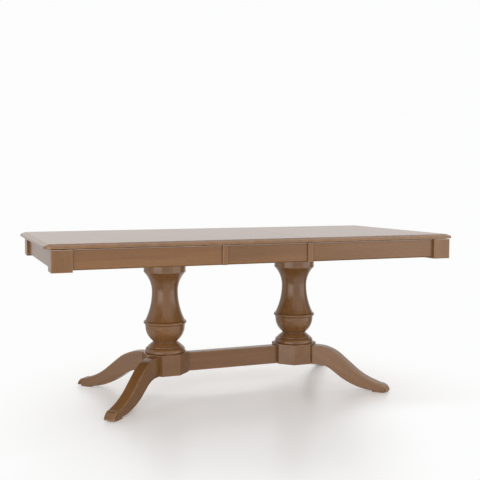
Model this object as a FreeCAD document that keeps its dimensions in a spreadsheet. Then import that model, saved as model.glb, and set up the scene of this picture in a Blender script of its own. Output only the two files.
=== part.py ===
import FreeCAD, Part
import math
import os
import Sketcher

"""An extending dining table on two turned pedestals.

The table stands on the floor at z = 0 with its centre at x = y = 0. Its long way is X and its front is -Y.
Two half tops slide out along X on dovetailed rails. A pinion between two racks keeps them even. A leaf with
aprons of its own lies between them. The left half is the right half turned half round about Z, so a piece of
either half is drawn once, at the right, and placed twice.
"""

# Every length is in millimetres and every angle in degrees.
SIZES = (
    # The top
    ("top_length", 1890.0),
    ("top_width", 940.0),
    ("table_height", 762.0),
    ("top_thickness", 19.0),
    ("corner_radius", 38.0),
    ("bevel_width", 23.0),
    ("bevel_drop", 8.5),
    ("leaf_width", 398.0),
    ("seam_gap", 0.3),
    ("leaf_seat_gap", 0.3),
    # The pins that carry the leaf's edges
    ("pin_diameter", 9.0),
    ("pin_embed", 22.0),
    ("pin_reach", 14.0),
    ("pin_spacing", 300.0),
    ("pin_rise", 9.0),
    ("pin_clearance", 0.3),
    ("glue_gap", 0.05),
    # The apron frame
    ("end_overhang", 24.0),
    ("side_overhang", 3.0),
    ("corner_block_size", 85.0),
    ("corner_block_drop", 7.0),
    ("corner_block_arris", 1.5),
    ("shadow_gap", 5.4),
    ("apron_height", 81.5),
    ("apron_thickness", 20.0),
    ("apron_setback", 16.5),
    ("apron_chamfer", 4.5),
    ("tenon_length", 22.0),
    ("tenon_thickness", 10.0),
    ("tenon_shoulder", 12.0),
    ("tenon_gap", 0.2),
    ("pilaster_width", 21.4),
    ("pilaster_thickness", 12.0),
    ("pilaster_lap", 11.3),
    ("pilaster_arris", 1.5),
    ("lap_gap", 0.3),
    ("cleat_size", 25.0),
    ("cleat_end_gap", 3.0),
    # The slides
    ("rail_spacing", 380.0),
    ("fixed_rail_length", 1000.0),
    ("fixed_rail_width", 30.0),
    ("fixed_rail_height", 50.0),
    ("fixed_rail_drop", 0.3),
    ("moving_rail_width", 26.0),
    ("moving_rail_height", 45.0),
    ("moving_rail_back", 150.0),
    ("moving_rail_end_gap", 14.0),
    ("slide_gap", 0.6),
    ("groove_depth", 9.0),
    ("groove_mouth", 12.0),
    ("groove_floor", 18.0),
    ("groove_gap", 0.5),
    # The bearers under the slides
    ("bearer_thickness", 24.0),
    ("bearer_width", 110.0),
    ("bearer_length", 520.0),
    ("bearer_flat", 300.0),
    ("bearer_tip", 14.0),
    ("centre_bearer_width", 90.0),
    ("centre_bearer_length", 440.0),
    # The racks and the pinion
    ("gear_module", 3.0),
    ("gear_backlash", 0.3),
    ("pressure_angle", 20.0),
    ("pinion_thickness", 14.0),
    ("pinion_hub_rise", 0.4),
    ("pinion_bore", 12.0),
    ("pivot_gap", 0.08),
    ("pivot_head_diameter", 20.0),
    ("pivot_head_height", 3.0),
    ("rack_height", 16.0),
    ("rack_back", 11.0),
    ("rack_reach", 358.0),
    ("rack_ride_gap", 0.4),
    ("rack_end_land", 8.0),
    ("rack_block_length", 90.0),
    ("rack_block_width", 30.0),
    ("channel_sheet", 3.0),
    ("channel_length", 120.0),
    ("channel_block_height", 16.0),
    ("channel_block_length", 88.0),
    # The columns, from the plinth up
    ("pedestal_spacing", 668.0),
    ("torus_core_reach", 93.5),
    ("torus_height", 13.0),
    ("scotia_outer_reach", 93.0),
    ("scotia_height", 3.0),
    ("ovolo_height", 15.0),
    ("ovolo_radius", 24.0),
    ("ovolo_top_reach", 80.0),
    ("neck_step_height", 2.5),
    ("neck_step_reach", 76.0),
    ("neck_cove_height", 18.5),
    ("neck_cove_radius", 22.0),
    ("neck_reach", 57.0),
    ("neck_height", 2.0),
    ("collar_reach", 58.5),
    ("collar_height", 2.5),
    ("bowl_height", 70.5),
    ("bowl_reach", 92.6),
    ("bowl_radius", 88.0),
    ("band_height", 10.0),
    ("band_reach", 93.6),
    ("ring_height", 15.0),
    ("waist_reach", 61.0),
    ("cap_reach", 98.5),
    ("plate_size", 220.0),
    ("plate_thickness", 20.0),
    ("plate_corner", 30.0),
    # The plinths and the stretcher
    ("plinth_flats", 207.5),
    ("plinth_height", 95.0),
    ("plinth_clearance", 111.0),
    ("facet_half_angle", 22.5),
    ("stretcher_thickness", 38.0),
    ("stretcher_drop", 10.0),
    ("stretcher_arris", 2.0),
    ("stub_length", 15.0),
    ("stub_thickness", 20.0),
    ("stub_shoulder", 14.0),
    # The feet
    ("foot_width", 52.0),
    ("foot_reach", 484.5),
    ("foot_shoulder", 24.0),
    ("instep_end", 69.5),
    ("toe_angle", 18.0),
    ("toe_crease", 39.5),
    ("toe_height", 41.5),
    ("nose_radius", 38.5),
    ("arch_shoulder", 28.0),
    ("heel_angle", 4.0),
    ("sole_length", 79.5),
    ("foot_arris", 2.5),
    ("glide_thickness", 7.0),
    ("glide_length", 65.0),
    ("glide_width", 49.0),
    ("glide_corner", 14.0),
    ("glide_inset", 14.0),
    ("dowel_diameter", 16.0),
    ("dowel_embed", 30.0),
    ("dowel_inset", 24.0),
    ("dowel_end_gap", 1.0),
    # The bolts through the columns
    ("tie_bolt_diameter", 10.0),
    ("tie_hole_gap", 0.5),
    ("column_bore", 14.0),
    ("nut_across_flats", 17.0),
    ("nut_height", 8.0),
    ("washer_diameter", 30.0),
    ("washer_thickness", 2.5),
    ("counterbore_diameter", 36.0),
    ("counterbore_depth", 18.0),
    ("bolt_tip", 4.0),
    # How far a cut runs past the face that it opens
    ("overrun", 5.0),
    # The column's flares, as shares of its height above the ring
    ("lower_flare_share", 0.476),
    ("upper_flare_share", 0.314),
    # Each S-curve's crest radius as a share of its hollow radius, and how full the hollow is
    ("foot_crest_share", 0.60),
    ("foot_hollow_share", 0.93),
    ("arch_crest_share", 0.394),
    ("arch_hollow_share", 0.985),
)
PINION_TOOTH_COUNT = 18
RACK_GAP_COUNT = 29
# How many of them lie past the pinion when the halves are closed up
CENTRE_GAP_COUNT = 2
# Half the width of the pinion's gap at its tip, base and root circles, as shares of the module
PINION_TIP_GAP_SHARE = 1.404
PINION_BASE_GAP_SHARE = 0.612
PINION_ROOT_GAP_SHARE = 0.560
ADDENDUM_SHARE = 1.0
DEDENDUM_SHARE = 1.25

UP = FreeCAD.Vector(0, 0, 1)
HALF_TURN = 180
ROUND = 360


class Size:
    """A number together with the sheet's formula for it."""

    def __init__(self, value, text):
        self.value = value
        self.text = text

    def __add__(self, other):
        other = sized(other)
        return Size(self.value + other.value, f"({self.text} + {other.text})")

    def __sub__(self, other):
        other = sized(other)
        return Size(self.value - other.value, f"({self.text} - {other.text})")

    def __mul__(self, other):
        other = sized(other)
        return Size(self.value * other.value, f"({self.text} * {other.text})")

    def __truediv__(self, other):
        other = sized(other)
        return Size(self.value / other.value, f"({self.text} / {other.text})")

    def __neg__(self):
        return Size(-self.value, f"(-1 * {self.text})")

    __rmul__ = __mul__


def sized(number):
    """A plain number as a Size."""
    if isinstance(number, Size):
        return number
    return Size(float(number), repr(float(number)))


def sine(angle):
    return Size(math.sin(math.radians(angle.value)), f"sin({angle.text})")


def cosine(angle):
    return Size(math.cos(math.radians(angle.value)), f"cos({angle.text})")


def tangent(angle):
    return Size(math.tan(math.radians(angle.value)), f"tan({angle.text})")


def square_root(size):
    return Size(math.sqrt(size.value), f"sqrt({size.text})")


ZERO = sized(0)
document = FreeCAD.newDocument("DiningTable")
sheet = document.addObject("Spreadsheet::Sheet", "Sizes")
v = type("Sizes", (), {})()
for row, (alias, number) in enumerate(SIZES, start=1):
    sheet.set(f"A{row}", alias)
    sheet.set(f"B{row}", str(number))
    sheet.setAlias(f"B{row}", alias)
    setattr(v, alias, Size(number, f"Sizes.{alias}"))
document.recompute()
worked_out = document.addObject("Spreadsheet::Sheet", "WorkedOut")
worked_out_names = []


def work_out(alias, size):
    """Give a worked-out size a cell of its own, so that long formulas stay short."""
    worked_out_names.append(alias)
    cell = f"B{len(worked_out_names)}"
    worked_out.set(cell, f"={size.text}")
    worked_out.setAlias(cell, alias)
    return Size(size.value, f"WorkedOut.{alias}")


# Heights and places that several pieces share
underside = v.table_height - v.top_thickness
half_length = v.top_length / 2
half_width = v.top_width / 2
leaf_half = v.leaf_width / 2
seam = leaf_half + v.seam_gap
pin_height = underside + v.pin_rise
apron_top = underside - v.shadow_gap
apron_bottom = apron_top - v.apron_height
block_outer_x = half_length - v.end_overhang
block_inner_x = block_outer_x - v.corner_block_size
block_outer_y = half_width - v.side_overhang
block_inner_y = block_outer_y - v.corner_block_size
side_face = block_outer_y - v.apron_setback
side_back = side_face - v.apron_thickness
end_face = block_outer_x - v.apron_setback
end_back = end_face - v.apron_thickness
cleat_bottom = underside - v.cleat_size
fixed_rail_y = v.rail_spacing / 2
fixed_rail_top = underside - v.fixed_rail_drop
fixed_rail_bottom = fixed_rail_top - v.fixed_rail_height
groove_height = fixed_rail_top - v.moving_rail_height / 2
bearer_bottom = fixed_rail_bottom - v.bearer_thickness
plate_bottom = bearer_bottom - v.plate_thickness
plinth_top = v.plinth_clearance + v.plinth_height
plinth_reach = v.plinth_flats / 2
pedestal_x = v.pedestal_spacing / 2
pitch_radius = v.gear_module * PINION_TOOTH_COUNT / 2
tooth_pitch = v.gear_module * math.pi
addendum = v.gear_module * ADDENDUM_SHARE
dedendum = v.gear_module * DEDENDUM_SHARE
channel_floor = fixed_rail_bottom + v.channel_block_height + v.channel_sheet
rack_bottom = channel_floor + v.rack_ride_gap
rack_top = rack_bottom + v.rack_height
rack_back_y = pitch_radius + dedendum + v.rack_back
pinion_bottom = channel_floor + v.pinion_hub_rise
pinion_top = pinion_bottom + v.pinion_thickness

nodes = []


def keep(label, piece):
    """Name a finished sub-part and list it for the export."""
    piece.Label = label
    nodes.append(piece)
    return piece


def bind(piece, path, size):
    """Tie one property of an object to the sheet."""
    piece.setExpression(path, size.text)


def place(piece, x=None, y=None, z=None, angle=0):
    """Turn an object about Z and tie its place to the sheet."""
    piece.Placement = FreeCAD.Placement(FreeCAD.Vector(), FreeCAD.Rotation(UP, angle))
    for axis, size in (("x", x), ("y", y), ("z", z)):
        if size is not None:
            bind(piece, f"Placement.Base.{axis}", size)
    return piece


def new_body(name):
    return document.addObject("PartDesign::Body", name)


def origin_feature(body, role):
    return next(item for item in body.Origin.OriginFeatures if item.Role == role)


# For each axis, the plane across it and the way that the plane faces along it
PLANES = {"x": ("YZ_Plane", 1), "y": ("XZ_Plane", -1), "z": ("XY_Plane", 1)}


def tie_point(sketch, geometry, end, x, y):
    """Hold one point of a sketch at x, y from the sketch's origin."""
    for kind, size, axis in (("DistanceX", x, -2), ("DistanceY", y, -1)):
        if size is ZERO:
            sketch.addConstraint(Sketcher.Constraint("PointOnObject", geometry, end, axis))
            continue
        index = sketch.addConstraint(Sketcher.Constraint(kind, -1, 1, geometry, end, size.value))
        sketch.setExpression(f"Constraints[{index}]", size.text)


def arc_between(start, finish, radius):
    """The short arc from start to finish: it turns left where the radius is positive, right if negative."""
    chord = finish - start
    middle = start + chord * 0.5
    reach = math.sqrt(max(radius * radius - chord.Length * chord.Length / 4, 0))
    left = FreeCAD.Vector(-chord.y, chord.x, 0).normalize()
    centre = middle + left * math.copysign(reach, radius)
    first, last = (start, finish) if radius > 0 else (finish, start)
    from_angle = math.atan2(first.y - centre.y, first.x - centre.x)
    to_angle = math.atan2(last.y - centre.y, last.x - centre.x)
    return Part.ArcOfCircle(Part.Circle(centre, UP, abs(radius)), from_angle, to_angle)


def draw_outline(sketch, corners):
    """Draw a closed outline. A corner is (x, y), or (x, y, radius) where the edge leaving it is an arc."""
    points = [FreeCAD.Vector(corner[0].value, corner[1].value, 0) for corner in corners]
    ends = []
    for index, corner in enumerate(corners):
        start = points[index]
        finish = points[(index + 1) % len(points)]
        if len(corner) == 2:
            geometry = sketch.addGeometry(Part.LineSegment(start, finish))
            ends.append((geometry, 1, 2))
            continue
        radius = corner[2]
        geometry = sketch.addGeometry(arc_between(start, finish, radius.value))
        ends.append((geometry, 1, 2) if radius.value > 0 else (geometry, 2, 1))
        measure = radius if radius.value > 0 else -radius
        limit = sketch.addConstraint(Sketcher.Constraint("Radius", geometry, abs(radius.value)))
        sketch.setExpression(f"Constraints[{limit}]", measure.text)
    for index, corner in enumerate(corners):
        before, _, before_end = ends[index - 1]
        after, after_start, _ = ends[index]
        sketch.addConstraint(Sketcher.Constraint("Coincident", before, before_end, after, after_start))
        tie_point(sketch, after, after_start, corner[0], corner[1])


def draw_disc(sketch, x, y, diameter):
    circle = Part.Circle(FreeCAD.Vector(x.value, y.value, 0), UP, diameter.value / 2)
    geometry = sketch.addGeometry(circle)
    tie_point(sketch, geometry, 3, x, y)
    limit = sketch.addConstraint(Sketcher.Constraint("Diameter", geometry, diameter.value))
    sketch.setExpression(f"Constraints[{limit}]", diameter.text)


def new_sketch(body, axis, level, outlines=(), discs=()):
    """A sketch across one axis of the body at a level along it."""
    role, facing = PLANES[axis]
    sketch = body.newObject("Sketcher::SketchObject", f"{body.Name}_outline")
    sketch.AttachmentSupport = (origin_feature(body, role), [""])
    sketch.MapMode = "FlatFace"
    if level is not ZERO:
        offset = level if facing > 0 else -level
        bind(sketch, "AttachmentOffset.Base.z", offset)
    for outline in outlines:
        draw_outline(sketch, outline)
    for disc in discs:
        draw_disc(sketch, *disc)
    return sketch


def prism(body, axis, low, high, outlines=(), discs=(), cut=False):
    """Add or cut a straight prism from low to high along one axis."""
    start = low if PLANES[axis][1] > 0 else high
    sketch = new_sketch(body, axis, start, outlines, discs)
    before = body.Shape.Volume if cut else 0
    kind = "Pocket" if cut else "Pad"
    feature = body.newObject(f"PartDesign::{kind}", f"{body.Name}_{kind.lower()}")
    feature.Profile = sketch
    feature.Reversed = cut
    bind(feature, "Length", high - low)
    document.recompute()
    if cut and feature.Shape.Volume >= before:
        raise RuntimeError(f"a cut in {body.Name} removed nothing")
    return feature


def rectangle(x0, x1, y0, y1):
    return [(x0, y0), (x1, y0), (x1, y1), (x0, y1)]


def chamfered(x0, x1, y0, y1, cut):
    """A rectangle with four cut corners."""
    return [
        (x0 + cut, y0), (x1 - cut, y0), (x1, y0 + cut), (x1, y1 - cut),
        (x1 - cut, y1), (x0 + cut, y1), (x0, y1 - cut), (x0, y0 + cut),
    ]


def box(name, x_span, y_span, z_span, side=1):
    """A plain block. At side -1 it is turned half round about Z."""
    block = document.addObject("Part::Box", name)
    lows = []
    for prop, (low, high), flips in (
        ("Length", x_span, True), ("Width", y_span, True), ("Height", z_span, False),
    ):
        bind(block, prop, high - low)
        lows.append(-high if side < 0 and flips else low)
    return place(block, *lows)


def cylinder(name, diameter, length, x=None, y=None, z=None, tilt=None):
    """A round bar along Z, or along the vector given by tilt."""
    bar = document.addObject("Part::Cylinder", name)
    bind(bar, "Radius", diameter / 2)
    bind(bar, "Height", length)
    if tilt is None:
        return place(bar, x, y, z)
    bar.Placement = FreeCAD.Placement(FreeCAD.Vector(), FreeCAD.Rotation(UP, tilt))
    for axis, size in (("x", x), ("y", y), ("z", z)):
        if size is not None:
            bind(bar, f"Placement.Base.{axis}", size)
    return bar


def group(label, members):
    """Several loose solids under one name."""
    compound = document.addObject("Part::Compound", label)
    compound.Links = members
    return keep(label, compound)


def hexagon(across_flats):
    """A six-sided outline about the sketch's origin, with two flats facing up and down."""
    flat = across_flats / 2
    half_side = flat * math.tan(math.pi / 6)
    return [
        (-half_side, -flat), (half_side, -flat), (half_side * 2, ZERO),
        (half_side, flat), (-half_side, flat), (-half_side * 2, ZERO),
    ]


# The top

def half_top_outline(inset):
    """Half of the top, with rounded outer corners, drawn in from its edge by inset."""
    x1 = half_length - inset
    y1 = half_width - inset
    radius = v.corner_radius - inset
    return [
        (seam, -y1), (x1 - radius, -y1, radius), (x1, -y1 + radius),
        (x1, y1 - radius, radius), (x1 - radius, y1), (seam, y1),
    ]


def make_half_top(label, angle):
    """A half top: a flat slab whose bevel rises from the edge to the flat."""
    body = new_body(label)
    edge_top = v.table_height - v.bevel_drop
    prism(body, "z", underside, edge_top, [half_top_outline(ZERO)])
    lower = new_sketch(body, "z", edge_top, [half_top_outline(ZERO)])
    upper = new_sketch(body, "z", v.table_height, [half_top_outline(v.bevel_width)])
    bevel = body.newObject("PartDesign::AdditiveLoft", f"{label}_bevel")
    bevel.Profile = lower
    bevel.Sections = [upper]
    bevel.Ruled = True
    document.recompute()
    # The bevel stops at the seam, so the slab there is filled up to the flat between the bevels.
    ramp = [
        (-half_width, edge_top), (half_width, edge_top),
        (half_width - v.bevel_width, v.table_height), (-half_width + v.bevel_width, v.table_height),
    ]
    prism(body, "x", seam, seam + v.bevel_width, [ramp])
    holes = [(y, pin_height, v.pin_diameter + v.glue_gap * 2) for y in pin_places()]
    prism(body, "x", seam - v.overrun, seam + v.pin_embed + v.glue_gap, discs=holes, cut=True)
    keep(label, place(body, angle=angle))


def pin_places():
    return (-v.pin_spacing, ZERO, v.pin_spacing)


def make_seam_pins(label, side):
    """Three pins set in the half top's seam edge and standing out under the leaf."""
    pins = []
    for index, y in enumerate(pin_places()):
        body = new_body(f"{label}_{index}")
        prism(body, "x", seam - v.pin_reach, seam + v.pin_embed, discs=[(y, pin_height, v.pin_diameter)])
        pins.append(place(body, angle=0 if side > 0 else HALF_TURN))
    group(label, pins)


def make_leaf_top():
    """The leaf: the top's own section along X, with slots under its edges that drop over the pins."""
    body = new_body("leaf_top")
    bottom = underside + v.leaf_seat_gap
    edge_top = v.table_height - v.bevel_drop
    section = [
        (-half_width, bottom), (half_width, bottom), (half_width, edge_top),
        (half_width - v.bevel_width, v.table_height), (-half_width + v.bevel_width, v.table_height),
        (-half_width, edge_top),
    ]
    prism(body, "x", -leaf_half, leaf_half, [section])
    slot_half = v.pin_diameter / 2 + v.pin_clearance
    slot_end = leaf_half - v.pin_reach
    for low, high in ((slot_end, leaf_half + v.overrun), (-leaf_half - v.overrun, -slot_end)):
        slots = [
            [
                (y - slot_half, bottom - v.overrun), (y + slot_half, bottom - v.overrun),
                (y + slot_half, pin_height, slot_half), (y, pin_height + slot_half, slot_half),
                (y - slot_half, pin_height),
            ]
            for y in pin_places()
        ]
        prism(body, "x", low, high, slots, cut=True)
    keep("leaf_top", body)


# The apron frame

def apron_section(face, back):
    """An apron's section across its length: face is the outside, and its lower edge is chamfered."""
    chamfer = v.apron_chamfer if face.value > back.value else -v.apron_chamfer
    return [
        (face, apron_top), (face, apron_bottom + v.apron_chamfer),
        (face - chamfer, apron_bottom), (back, apron_bottom), (back, apron_top),
    ]


def tenon_section(face, back, grow):
    """A tenon's section, centred in the apron's thickness and wider by grow all round."""
    middle = (face + back) / 2
    half = v.tenon_thickness / 2 + grow
    low = apron_bottom + v.tenon_shoulder - grow
    high = apron_top - v.tenon_shoulder + grow
    return rectangle(middle - half, middle + half, low, high)


def make_corner_block(label, front, angle):
    """A square post at a corner, mortised for the side apron and the end apron."""
    body = new_body(label)
    low = block_inner_y if front > 0 else -block_outer_y
    high = block_outer_y if front > 0 else -block_inner_y
    outline = chamfered(block_inner_x, block_outer_x, low, high, v.corner_block_arris)
    prism(body, "z", apron_bottom - v.corner_block_drop, apron_top, [outline])
    mortise = tenon_section(side_face * front, side_back * front, v.tenon_gap)
    deep = block_inner_x + v.tenon_length + v.tenon_gap
    prism(body, "x", block_inner_x - v.overrun, deep, [mortise], cut=True)
    mortise = tenon_section(end_face, end_back, v.tenon_gap)
    deep = block_inner_y + v.tenon_length + v.tenon_gap
    span = (block_inner_y - v.overrun, deep) if front > 0 else (-deep, -block_inner_y + v.overrun)
    prism(body, "y", *span, [mortise], cut=True)
    keep(label, place(body, angle=angle))


def make_side_apron(label, front, angle):
    """A side apron of a half, from the seam to its tenon in the corner block."""
    body = new_body(label)
    face, back = side_face * front, side_back * front
    prism(body, "x", seam, block_inner_x, [apron_section(face, back)])
    prism(body, "x", block_inner_x - v.overrun, block_inner_x + v.tenon_length, [tenon_section(face, back, ZERO)])
    keep(label, place(body, angle=angle))


def make_end_apron(label, angle):
    """The end apron of a half, with a tenon at each end."""
    body = new_body(label)
    prism(body, "y", -block_inner_y, block_inner_y, [apron_section(end_face, end_back)])
    reach = block_inner_y + v.tenon_length
    prism(body, "y", -reach, reach, [tenon_section(end_face, end_back, ZERO)])
    keep(label, place(body, angle=angle))


def make_leaf_apron(label, front):
    """The leaf's own apron, set back by the lap's clearance so that the pilasters pass it."""
    body = new_body(label)
    face = (side_face - v.lap_gap) * front
    back = side_back * front
    prism(body, "x", -leaf_half, leaf_half, [apron_section(face, back)])
    keep(label, body)


def make_pilaster(label, front, angle):
    """A narrow strip on the end of a side apron. It hides the seam and laps the leaf's apron."""
    body = new_body(label)
    x0 = seam - v.pilaster_lap
    x1 = x0 + v.pilaster_width
    arris = v.pilaster_arris
    back = side_face * front
    face = (side_face + v.pilaster_thickness) * front
    inner = face - arris * front
    outline = [(x0, back), (x1, back), (x1, inner), (x1 - arris, face), (x0 + arris, face), (x0, inner)]
    prism(body, "z", apron_bottom, apron_top, [outline])
    keep(label, place(body, angle=angle))


def make_half_cleats(label, side):
    """Strips behind the side and end aprons, under the half top."""
    z_span = (cleat_bottom, underside)
    x_span = (seam + v.cleat_end_gap, block_inner_x - v.cleat_end_gap)
    end_reach = block_inner_y - v.cleat_end_gap
    strips = [
        box(f"{label}_front", x_span, (-side_back, -side_back + v.cleat_size), z_span, side),
        box(f"{label}_rear", x_span, (side_back - v.cleat_size, side_back), z_span, side),
        box(f"{label}_end", (end_back - v.cleat_size, end_back), (-end_reach, end_reach), z_span, side),
    ]
    group(label, strips)


def make_leaf_cleats():
    """Strips behind the leaf's aprons, under the leaf."""
    bottom = underside + v.leaf_seat_gap
    z_span = (bottom - v.cleat_size, bottom)
    reach = leaf_half - v.cleat_end_gap
    strips = [
        box("leaf_cleat_front", (-reach, reach), (-side_back, -side_back + v.cleat_size), z_span),
        box("leaf_cleat_rear", (-reach, reach), (side_back - v.cleat_size, side_back), z_span),
    ]
    group("leaf_cleats", strips)


# The slides

def make_fixed_rail(label, front):
    """A rail of the base, with a dovetail groove along each side."""
    body = new_body(label)
    middle = fixed_rail_y * front
    half = v.fixed_rail_width / 2
    floor = half - v.groove_depth
    mouth = v.groove_mouth / 2
    deep = v.groove_floor / 2
    section = [
        (middle - half, fixed_rail_bottom), (middle + half, fixed_rail_bottom),
        (middle + half, groove_height - mouth), (middle + floor, groove_height - deep),
        (middle + floor, groove_height + deep), (middle + half, groove_height + mouth),
        (middle + half, fixed_rail_top), (middle - half, fixed_rail_top),
        (middle - half, groove_height + mouth), (middle - floor, groove_height + deep),
        (middle - floor, groove_height - deep), (middle - half, groove_height - mouth),
    ]
    reach = v.fixed_rail_length / 2
    prism(body, "x", -reach, reach, [section])
    keep(label, body)


def make_moving_rail(label, front, towards, angle):
    """A half's rail beside a fixed rail: front says which rail, and towards which way its tongue points."""
    body = new_body(label)
    middle = fixed_rail_y * front
    face = middle - (v.fixed_rail_width / 2 + v.slide_gap) * towards
    back = face - v.moving_rail_width * towards
    slant = (v.groove_floor - v.groove_mouth) / 2 / v.groove_depth
    root = v.groove_mouth / 2 - v.groove_gap - slant * v.slide_gap
    tongue = v.groove_depth - v.slide_gap
    tip = v.groove_mouth / 2 - v.groove_gap + slant * tongue
    tip_face = face + (v.slide_gap + tongue) * towards
    bottom = underside - v.moving_rail_height
    section = [
        (back, bottom), (face, bottom), (face, groove_height - root), (tip_face, groove_height - tip),
        (tip_face, groove_height + tip), (face, groove_height + root), (face, underside), (back, underside),
    ]
    outer = end_back - v.cleat_size - v.moving_rail_end_gap
    prism(body, "x", -v.moving_rail_back, outer, [section])
    keep(label, place(body, angle=angle))


def make_bearer(label, x, width, length, flat, with_tie_hole, with_pivot_hole=False):
    """A cross bearer under the fixed rails, thinned towards its ends."""
    body = new_body(label)
    tip_low = fixed_rail_bottom - v.bearer_tip
    section = [
        (-flat / 2, bearer_bottom), (flat / 2, bearer_bottom), (length / 2, tip_low),
        (length / 2, fixed_rail_bottom), (-length / 2, fixed_rail_bottom), (-length / 2, tip_low),
    ]
    prism(body, "x", -width / 2, width / 2, [section])
    if with_tie_hole:
        hole = (ZERO, ZERO, v.tie_bolt_diameter + v.tie_hole_gap * 2)
    if with_pivot_hole:
        hole = (ZERO, ZERO, v.pinion_bore)
    prism(body, "z", bearer_bottom - v.overrun, fixed_rail_bottom + v.overrun, discs=[hole], cut=True)
    keep(label, place(body, x=x))


# The racks and the pinion

def make_pinion():
    """The gear between the racks: a disc with one gap cut and repeated round it."""
    body = new_body("pinion")
    outer = pitch_radius + addendum
    root = pitch_radius - dedendum
    base = pitch_radius * cosine(v.pressure_angle)
    flank = pitch_radius * sine(v.pressure_angle)
    prism(body, "z", pinion_bottom, pinion_top, discs=[(ZERO, ZERO, outer * 2)])
    play = v.gear_backlash / 2
    tip_half = v.gear_module * PINION_TIP_GAP_SHARE + play
    base_half = v.gear_module * PINION_BASE_GAP_SHARE + play
    root_half = v.gear_module * PINION_ROOT_GAP_SHARE + play
    past = outer + v.gear_module
    gap = [
        (root, root_half), (root, -root_half), (base, -base_half, -flank), (outer, -tip_half),
        (past, -tip_half), (past, tip_half), (outer, tip_half, -flank), (base, base_half),
    ]
    low = pinion_bottom - v.overrun
    high = pinion_top + v.overrun
    first_gap = prism(body, "z", low, high, [gap], cut=True)
    ring = body.newObject("PartDesign::PolarPattern", "pinion_gaps")
    ring.Originals = [first_gap]
    ring.Axis = (origin_feature(body, "Z_Axis"), [""])
    ring.Angle = ROUND
    ring.Occurrences = PINION_TOOTH_COUNT
    body.Tip = ring
    document.recompute()
    prism(body, "z", low, high, discs=[(ZERO, ZERO, v.pinion_bore)], cut=True)
    keep("pinion", body)


def make_rack(label, angle):
    """A toothed bar: the right one runs behind the pinion, with its teeth towards the front."""
    body = new_body(label)
    root_y = pitch_radius + dedendum
    tip_y = pitch_radius - addendum
    play = v.gear_backlash / 2
    lean = tangent(v.pressure_angle)
    root_half = tooth_pitch / 4 + play - dedendum * lean
    tip_half = tooth_pitch / 4 + play + addendum * lean
    past_half = tip_half + v.gear_module * lean
    first = tooth_pitch * CENTRE_GAP_COUNT
    run = tooth_pitch * (RACK_GAP_COUNT - 1)
    inner_end = first - run - tip_half - v.rack_end_land
    prism(body, "z", rack_bottom, rack_top, [rectangle(inner_end, v.rack_reach, tip_y, rack_back_y)])
    gap = [
        (first - root_half, root_y), (first - past_half, tip_y - v.gear_module),
        (first + past_half, tip_y - v.gear_module), (first + root_half, root_y),
    ]
    first_gap = prism(body, "z", rack_bottom - v.overrun, rack_top + v.overrun, [gap], cut=True)
    row_of_gaps = body.newObject("PartDesign::LinearPattern", f"{label}_gaps")
    row_of_gaps.Originals = [first_gap]
    row_of_gaps.Direction = (origin_feature(body, "X_Axis"), [""])
    row_of_gaps.Reversed = True
    bind(row_of_gaps, "Length", run)
    row_of_gaps.Occurrences = RACK_GAP_COUNT
    body.Tip = row_of_gaps
    keep(label, place(body, angle=angle))


def make_rack_block(label, side):
    """The block that holds a rack's outer end under its half top."""
    x_span = (v.rack_reach - v.rack_block_length, v.rack_reach)
    y_span = (rack_back_y - v.rack_block_width, rack_back_y)
    keep(label, box(label, x_span, y_span, (rack_top, underside), side))


def make_channel():
    """A folded channel that the racks run in, with the pivot's hole in its floor."""
    body = new_body("rack_guide_channel")
    inner = rack_back_y + v.rack_ride_gap
    outer = inner + v.channel_sheet
    under = channel_floor - v.channel_sheet
    section = [
        (-outer, under), (outer, under), (outer, rack_top), (inner, rack_top),
        (inner, channel_floor), (-inner, channel_floor), (-inner, rack_top), (-outer, rack_top),
    ]
    prism(body, "x", -v.channel_length / 2, v.channel_length / 2, [section])
    hole = (ZERO, ZERO, v.pinion_bore)
    prism(body, "z", under - v.overrun, channel_floor + v.overrun, discs=[hole], cut=True)
    keep("rack_guide_channel", body)


def make_channel_block():
    """A block that lifts the channel off the centre bearer."""
    body = new_body("channel_block")
    reach = rack_back_y + v.rack_ride_gap + v.channel_sheet
    top = channel_floor - v.channel_sheet
    outline = rectangle(-v.channel_block_length / 2, v.channel_block_length / 2, -reach, reach)
    hole = (ZERO, ZERO, v.pinion_bore)
    prism(body, "z", fixed_rail_bottom, top, [outline], [hole])
    keep("channel_block", body)


def make_pinion_pivot():
    """The pinion's pivot bolt and its nut under the centre bearer."""
    body = new_body("pivot_bolt")
    shank = v.pinion_bore - v.pivot_gap * 2
    head_low = pinion_top + v.pinion_hub_rise
    tip = bearer_bottom - v.nut_height - v.bolt_tip
    prism(body, "z", tip, head_low, discs=[(ZERO, ZERO, shank)])
    prism(body, "z", head_low, head_low + v.pivot_head_height, discs=[(ZERO, ZERO, v.pivot_head_diameter)])
    nut = new_body("pivot_nut")
    bore = (ZERO, ZERO, v.pinion_bore)
    prism(nut, "z", bearer_bottom - v.nut_height, bearer_bottom, [hexagon(v.nut_across_flats)], [bore])
    group("pinion_pivot", [body, nut])


# The pedestals

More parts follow.
